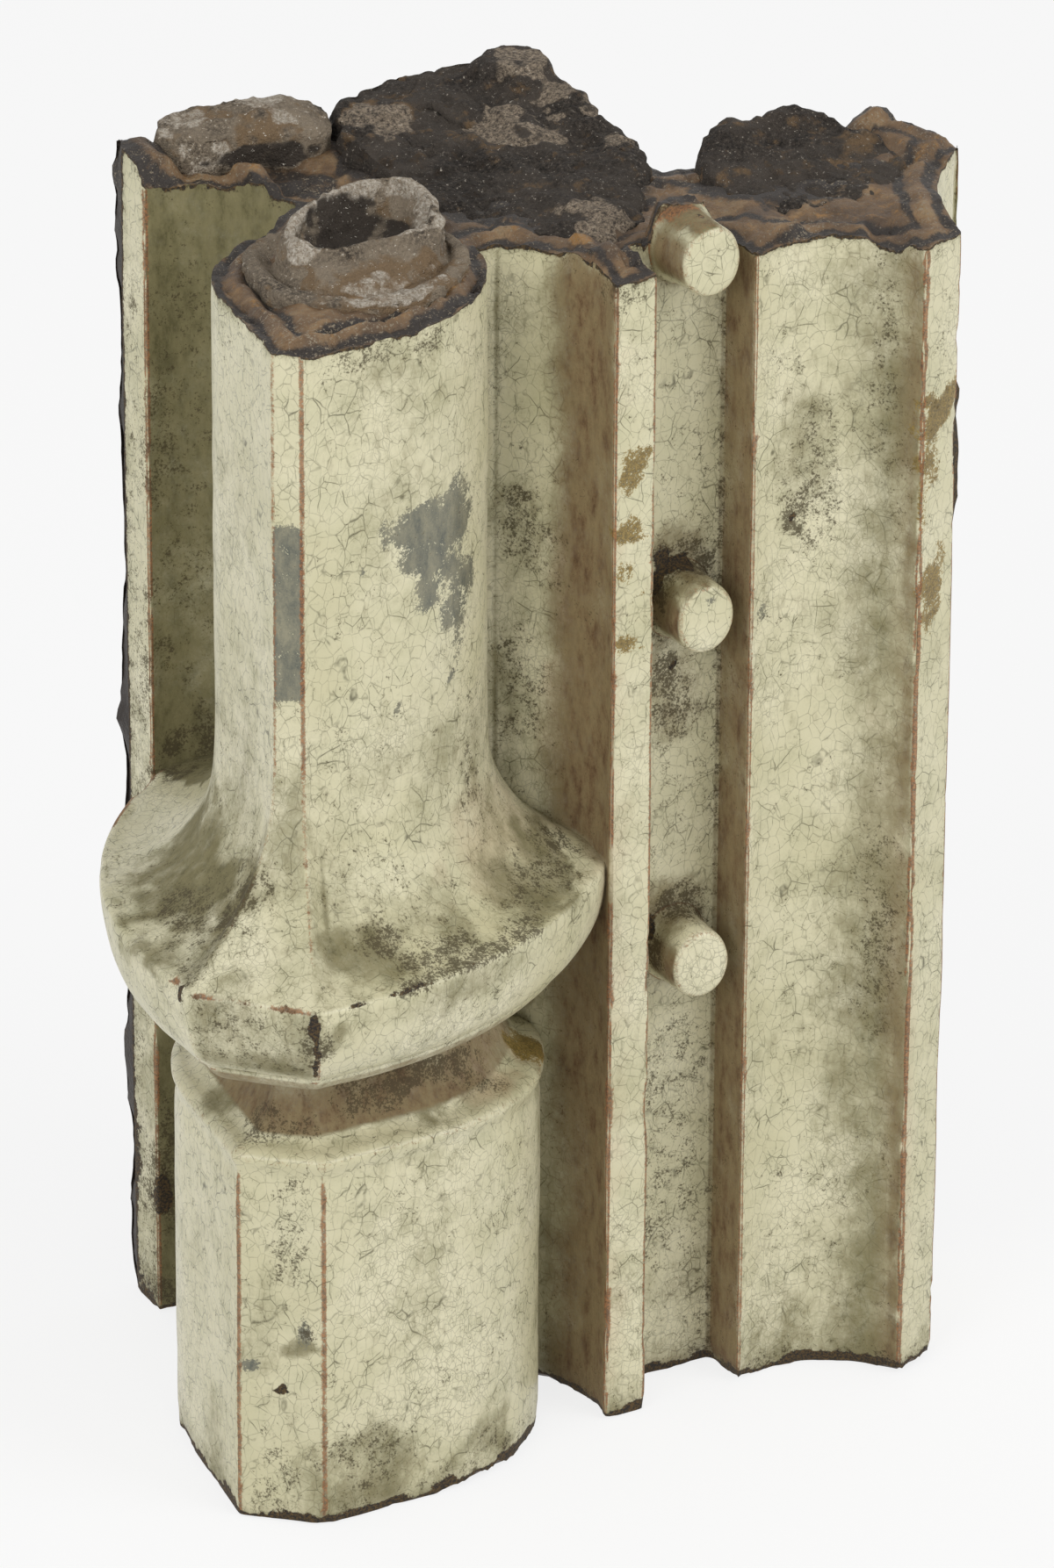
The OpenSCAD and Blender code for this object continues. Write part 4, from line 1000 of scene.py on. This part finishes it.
# ------------------------------------------------------------------ mortar finishes
# Lime mortar, trowelled wet and torn off dry. The pale one is lime and sand, the dark one is lime and
# furnace ash; both give the eye a granular, dead-matt crust with loose specks.
def mortar(name, deep, body, crust_and_highlight, brown, speck):
    """Mortar whose colours run from its hollows to its crust, with brown stains and bright specks; the crust
    colour also gives a painted highlight where a heap's table puts one.
    """
    material = bpy.data.materials.new(name)
    material.use_nodes = True
    tree = material.node_tree
    shader = tree.nodes["Principled BSDF"]
    place = add(tree, "ShaderNodeTexCoord").outputs["Object"]
    tone = add(tree, "ShaderNodeAttribute", attribute_name="tone").outputs["Color"]
    crust_and_highlight_at, brown_at, deep_at = add(tree, "ShaderNodeSeparateColor", {0: tone}).outputs[:3]
    lumps, sand, patches, rough = [
        add(tree, "ShaderNodeTexNoise", {"Vector": place, "Scale": 1 / (lump * MM), "Detail": detail,
                                         "Roughness": roughness}).outputs[0]
        for lump, detail, roughness in ((9, 4, 0.65), (1.6, 3, 0.8), (26, 3, 0.6), (3, 3, 0.8))]
    ground, sandy, patchy, crusty, specks = [
        add(tree, "ShaderNodeMapRange", dict(zip(RAMP, row))).outputs[0] for row in (
            (patches, 0.4, 0.62), (sand, 0.4, 0.62), (patches, 0, 1, 0.1, 0.4), (sand, 0.38, 0.6),
            (sand, 0.64, 0.7))]
    crust_and_highlight_tone = add(tree, "ShaderNodeMix", {0: crusty, 6: linear(body), 7: linear(crust_and_highlight)},
                     data_type="RGBA").outputs[2]
    colour = linear(deep)
    for share, coat in ((ground, linear(body)), (sandy, linear(body)),
                        (ragged(tree, brown_at, lumps, 0.4, 0.7), linear(brown)),
                        (ragged(tree, patchy, lumps, 0.3, 0.5), linear(brown)),
                        (ragged(tree, crust_and_highlight_at, lumps, 0.4, 0.65), crust_and_highlight_tone),
                        (ragged(tree, deep_at, lumps, 0.35, 0.8), linear(deep)), (specks, linear(speck))):
        colour = add(tree, "ShaderNodeMix", {0: share, 6: colour, 7: coat}, data_type="RGBA").outputs[2]
    tree.links.new(colour, shader.inputs["Base Color"])
    shader.inputs["Roughness"].default_value = 0.92
    shader.inputs["Specular IOR Level"].default_value = 0.3
    relief = add(tree, "ShaderNodeBump", {"Strength": 1.0, "Distance": 3 * MM, "Height": rough})
    tree.links.new(relief.outputs[0], shader.inputs["Normal"])
    return material


pale = mortar("lime_and_sand_mortar", "#3F3831", "#8B7E6C", "#BFB6A8", "#7A664E", "#DDD7CA")
dark = mortar("lime_and_ash_mortar", "#211D19", "#48413A", "#998A77", "#6A563F", "#B9B1A4")


def finish_heap(heap, node, material, crust_and_highlight, brown, deep):
    """Finish one heap: its three tones at its points, its material and what it stands for."""
    p = read_mesh(heap.data)[0]
    paint(heap.data, "tone", stains(p, crust_and_highlight) + 0.12 * noise(p, 12, 401),
          stains(p, brown) + 0.1 * noise(p, 16, 402), stains(p, deep), 0.0)
    heap.data.materials.append(material)
    heap.data.shade_smooth()
    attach(heap, "root")
    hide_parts(node)


finish_heap(shaft_mortar, "shaft_mortar", pale,
            [(68, 60, 528, 44, 7, 0.7), (90, 80, 528, 26, 8, 0.75), (45, 66, 525, 14, 8, 0.7),
             # The row along the front lip at the heap's foot paints the lip's highlight as well as its pale
             # crust.
             (62, 20, 510.5, 46, 3, 0.6), (40, 62, 518, 8, 8, 0.6), (96, 62, 520, 14, 12, 0.5)],
            [(64, 38, 514, 34, 7, 0.6), (84, 40, 512, 18, 7, 0.5), (60, 28, 509, 54, 5, 0.6),
             (30, 50, 511, 14, 8, 0.4)],
            [(68, 77, 514, 26, 14, 1.0), (70, 80, 516, 24, 12, 0.8), (84, 68, 510, 20, 8, 0.7),
             (30, 84, 510, 12, 8, 0.5)])
finish_heap(pale_patch, "pale_bed_mortar", pale,
            [(54, 196, 522, 14, 10, 0.5), (94, 200, 524, 22, 8, 0.6), (56, 182, 512, 16, 12, 0.6),
             (104, 184, 520, 10, 10, 0.6)],
            [(74, 192, 524, 22, 8, 0.6), (92, 186, 518, 18, 9, 0.5), (60, 180, 514, 16, 9, 0.4)],
            [(82, 176, 511, 34, 5, 0.9), (116, 190, 516, 10, 14, 0.8)])
finish_heap(dark_heap, "body_mortar", dark,
            [(132, 172, 516, 18, 9, 0.8), (176, 146, 515, 18, 12, 0.9), (184, 126, 514, 12, 9, 0.7),
             (176, 134, 515, 14, 10, 0.7), (168, 44, 512, 15, 9, 0.8), (166, 62, 512, 14, 9, 0.7),
             (198, 180, 528, 13, 12, 0.75), (206, 160, 520, 12, 14, 0.7), (214, 140, 516, 10, 12, 0.6),
             (208, 112, 513, 10, 8, 0.6)],
            [(134, 172, 516, 20, 8, 0.55), (150, 190, 518, 34, 8, 0.4), (175, 135, 515, 18, 8, 0.4),
             (160, 40, 511, 20, 6, 0.3)],
            [(140, 120, 512, 34, 10, 0.5), (190, 90, 511, 20, 8, 0.4)])
finish_heap(wing_heap, "wing_mortar", dark,
            [(300, 84, 516, 10, 8, 0.4), (262, 34, 509, 20, 4, 0.35)],
            [(296, 70, 513, 16, 9, 0.55), (280, 90, 516, 14, 9, 0.4), (240, 44, 509, 14, 5, 0.4)],
            [(255, 60, 510, 24, 8, 0.4)])

# ------------------------------------------------------------------ stage
# A white floor and room, one large soft lamp from the right and a weaker one from the left
scene = bpy.context.scene
scene.view_settings.view_transform = "Standard"
floor_mesh = bpy.data.meshes.new("floor")
floor_mesh.from_pydata([(-6, -6, 0), (6, -6, 0), (6, 6, 0), (-6, 6, 0)], [], [(0, 1, 2, 3)])
floor = bpy.data.objects.new("floor", floor_mesh)
scene.collection.objects.link(floor)


def background_rays(tree):
    """1 for a ray that shows the background: straight to the camera, in a reflection or through glass."""
    seen = add(tree, "ShaderNodeLightPath")
    glossy, through = seen.outputs["Is Glossy Ray"], seen.outputs["Is Transmission Ray"]
    mirrored = add(tree, "ShaderNodeMath", {0: glossy, 1: through}, operation="MAXIMUM")
    return add(tree, "ShaderNodeMath", {0: seen.outputs["Is Camera Ray"], 1: mirrored.outputs[0]},
               operation="MAXIMUM").outputs[0]


paper = bpy.data.materials.new("white_paper")
paper.use_nodes = True
tree = paper.node_tree
tree.nodes.clear()
matt = add(tree, "ShaderNodeBsdfDiffuse", {"Color": (0.85, 0.85, 0.85, 1)})
lit = add(tree, "ShaderNodeEmission", {"Color": (1, 1, 1, 1), "Strength": 1.0})
share_lit = add(tree, "ShaderNodeMath", {0: background_rays(tree), 1: 0.8}, operation="MULTIPLY")
both = add(tree, "ShaderNodeMixShader", {0: share_lit.outputs[0], 1: matt.outputs[0], 2: lit.outputs[0]})
add(tree, "ShaderNodeOutputMaterial", {"Surface": both.outputs[0]})
floor_mesh.materials.append(paper)

world = bpy.data.worlds.new("room")
scene.world = world
world.use_nodes = True
tree = world.node_tree
tree.nodes.clear()
soft = add(tree, "ShaderNodeBackground", {"Color": (1, 1, 1, 1), "Strength": 0.62})
white = add(tree, "ShaderNodeBackground", {"Color": (1, 1, 1, 1), "Strength": 1.0})
both = add(tree, "ShaderNodeMixShader", {0: background_rays(tree), 1: soft.outputs[0], 2: white.outputs[0]})
add(tree, "ShaderNodeOutputWorld", {"Surface": both.outputs[0]})


def lamp(name, place, aim, size, power):
    """A square area lamp at place that faces aim."""
    data = bpy.data.lights.new(name, "AREA")
    data.size, data.energy = size, power
    obj = bpy.data.objects.new(name, data)
    obj.location = place
    obj.rotation_euler = (Vector(aim) - Vector(place)).to_track_quat("-Z", "Y").to_euler()
    scene.collection.objects.link(obj)


MIDDLE = (0.0, 0.0, 0.26)
lamp("key", (1.5, -2.2, 1.9), MIDDLE, 1.8, 33)
lamp("fill", (-2.4, -1.4, 1.6), MIDDLE, 1.6, 29)

# ------------------------------------------------------------------ camera
# A long lens from the left and well above, turned a little to level
AIM = np.array([153.0, 84.95, 254.0]) + ORIGIN
camera_data = bpy.data.cameras.new("camera")
camera_data.sensor_fit, camera_data.sensor_width, camera_data.lens = "HORIZONTAL", 36.0, 319.0
camera_data.clip_end = 50
camera = bpy.data.objects.new("camera", camera_data)
camera.location = (AIM + (-1658.9, -2992.7, 1653.8)) * MM
turn = (Vector(AIM * MM) - camera.location).to_track_quat("-Z", "Y")
roll = Matrix.Rotation(math.radians(0.33), 4, "Z")
camera.matrix_world = Matrix.Translation(camera.location) @ turn.to_matrix().to_4x4() @ roll
scene.collection.objects.link(camera)
scene.camera = camera
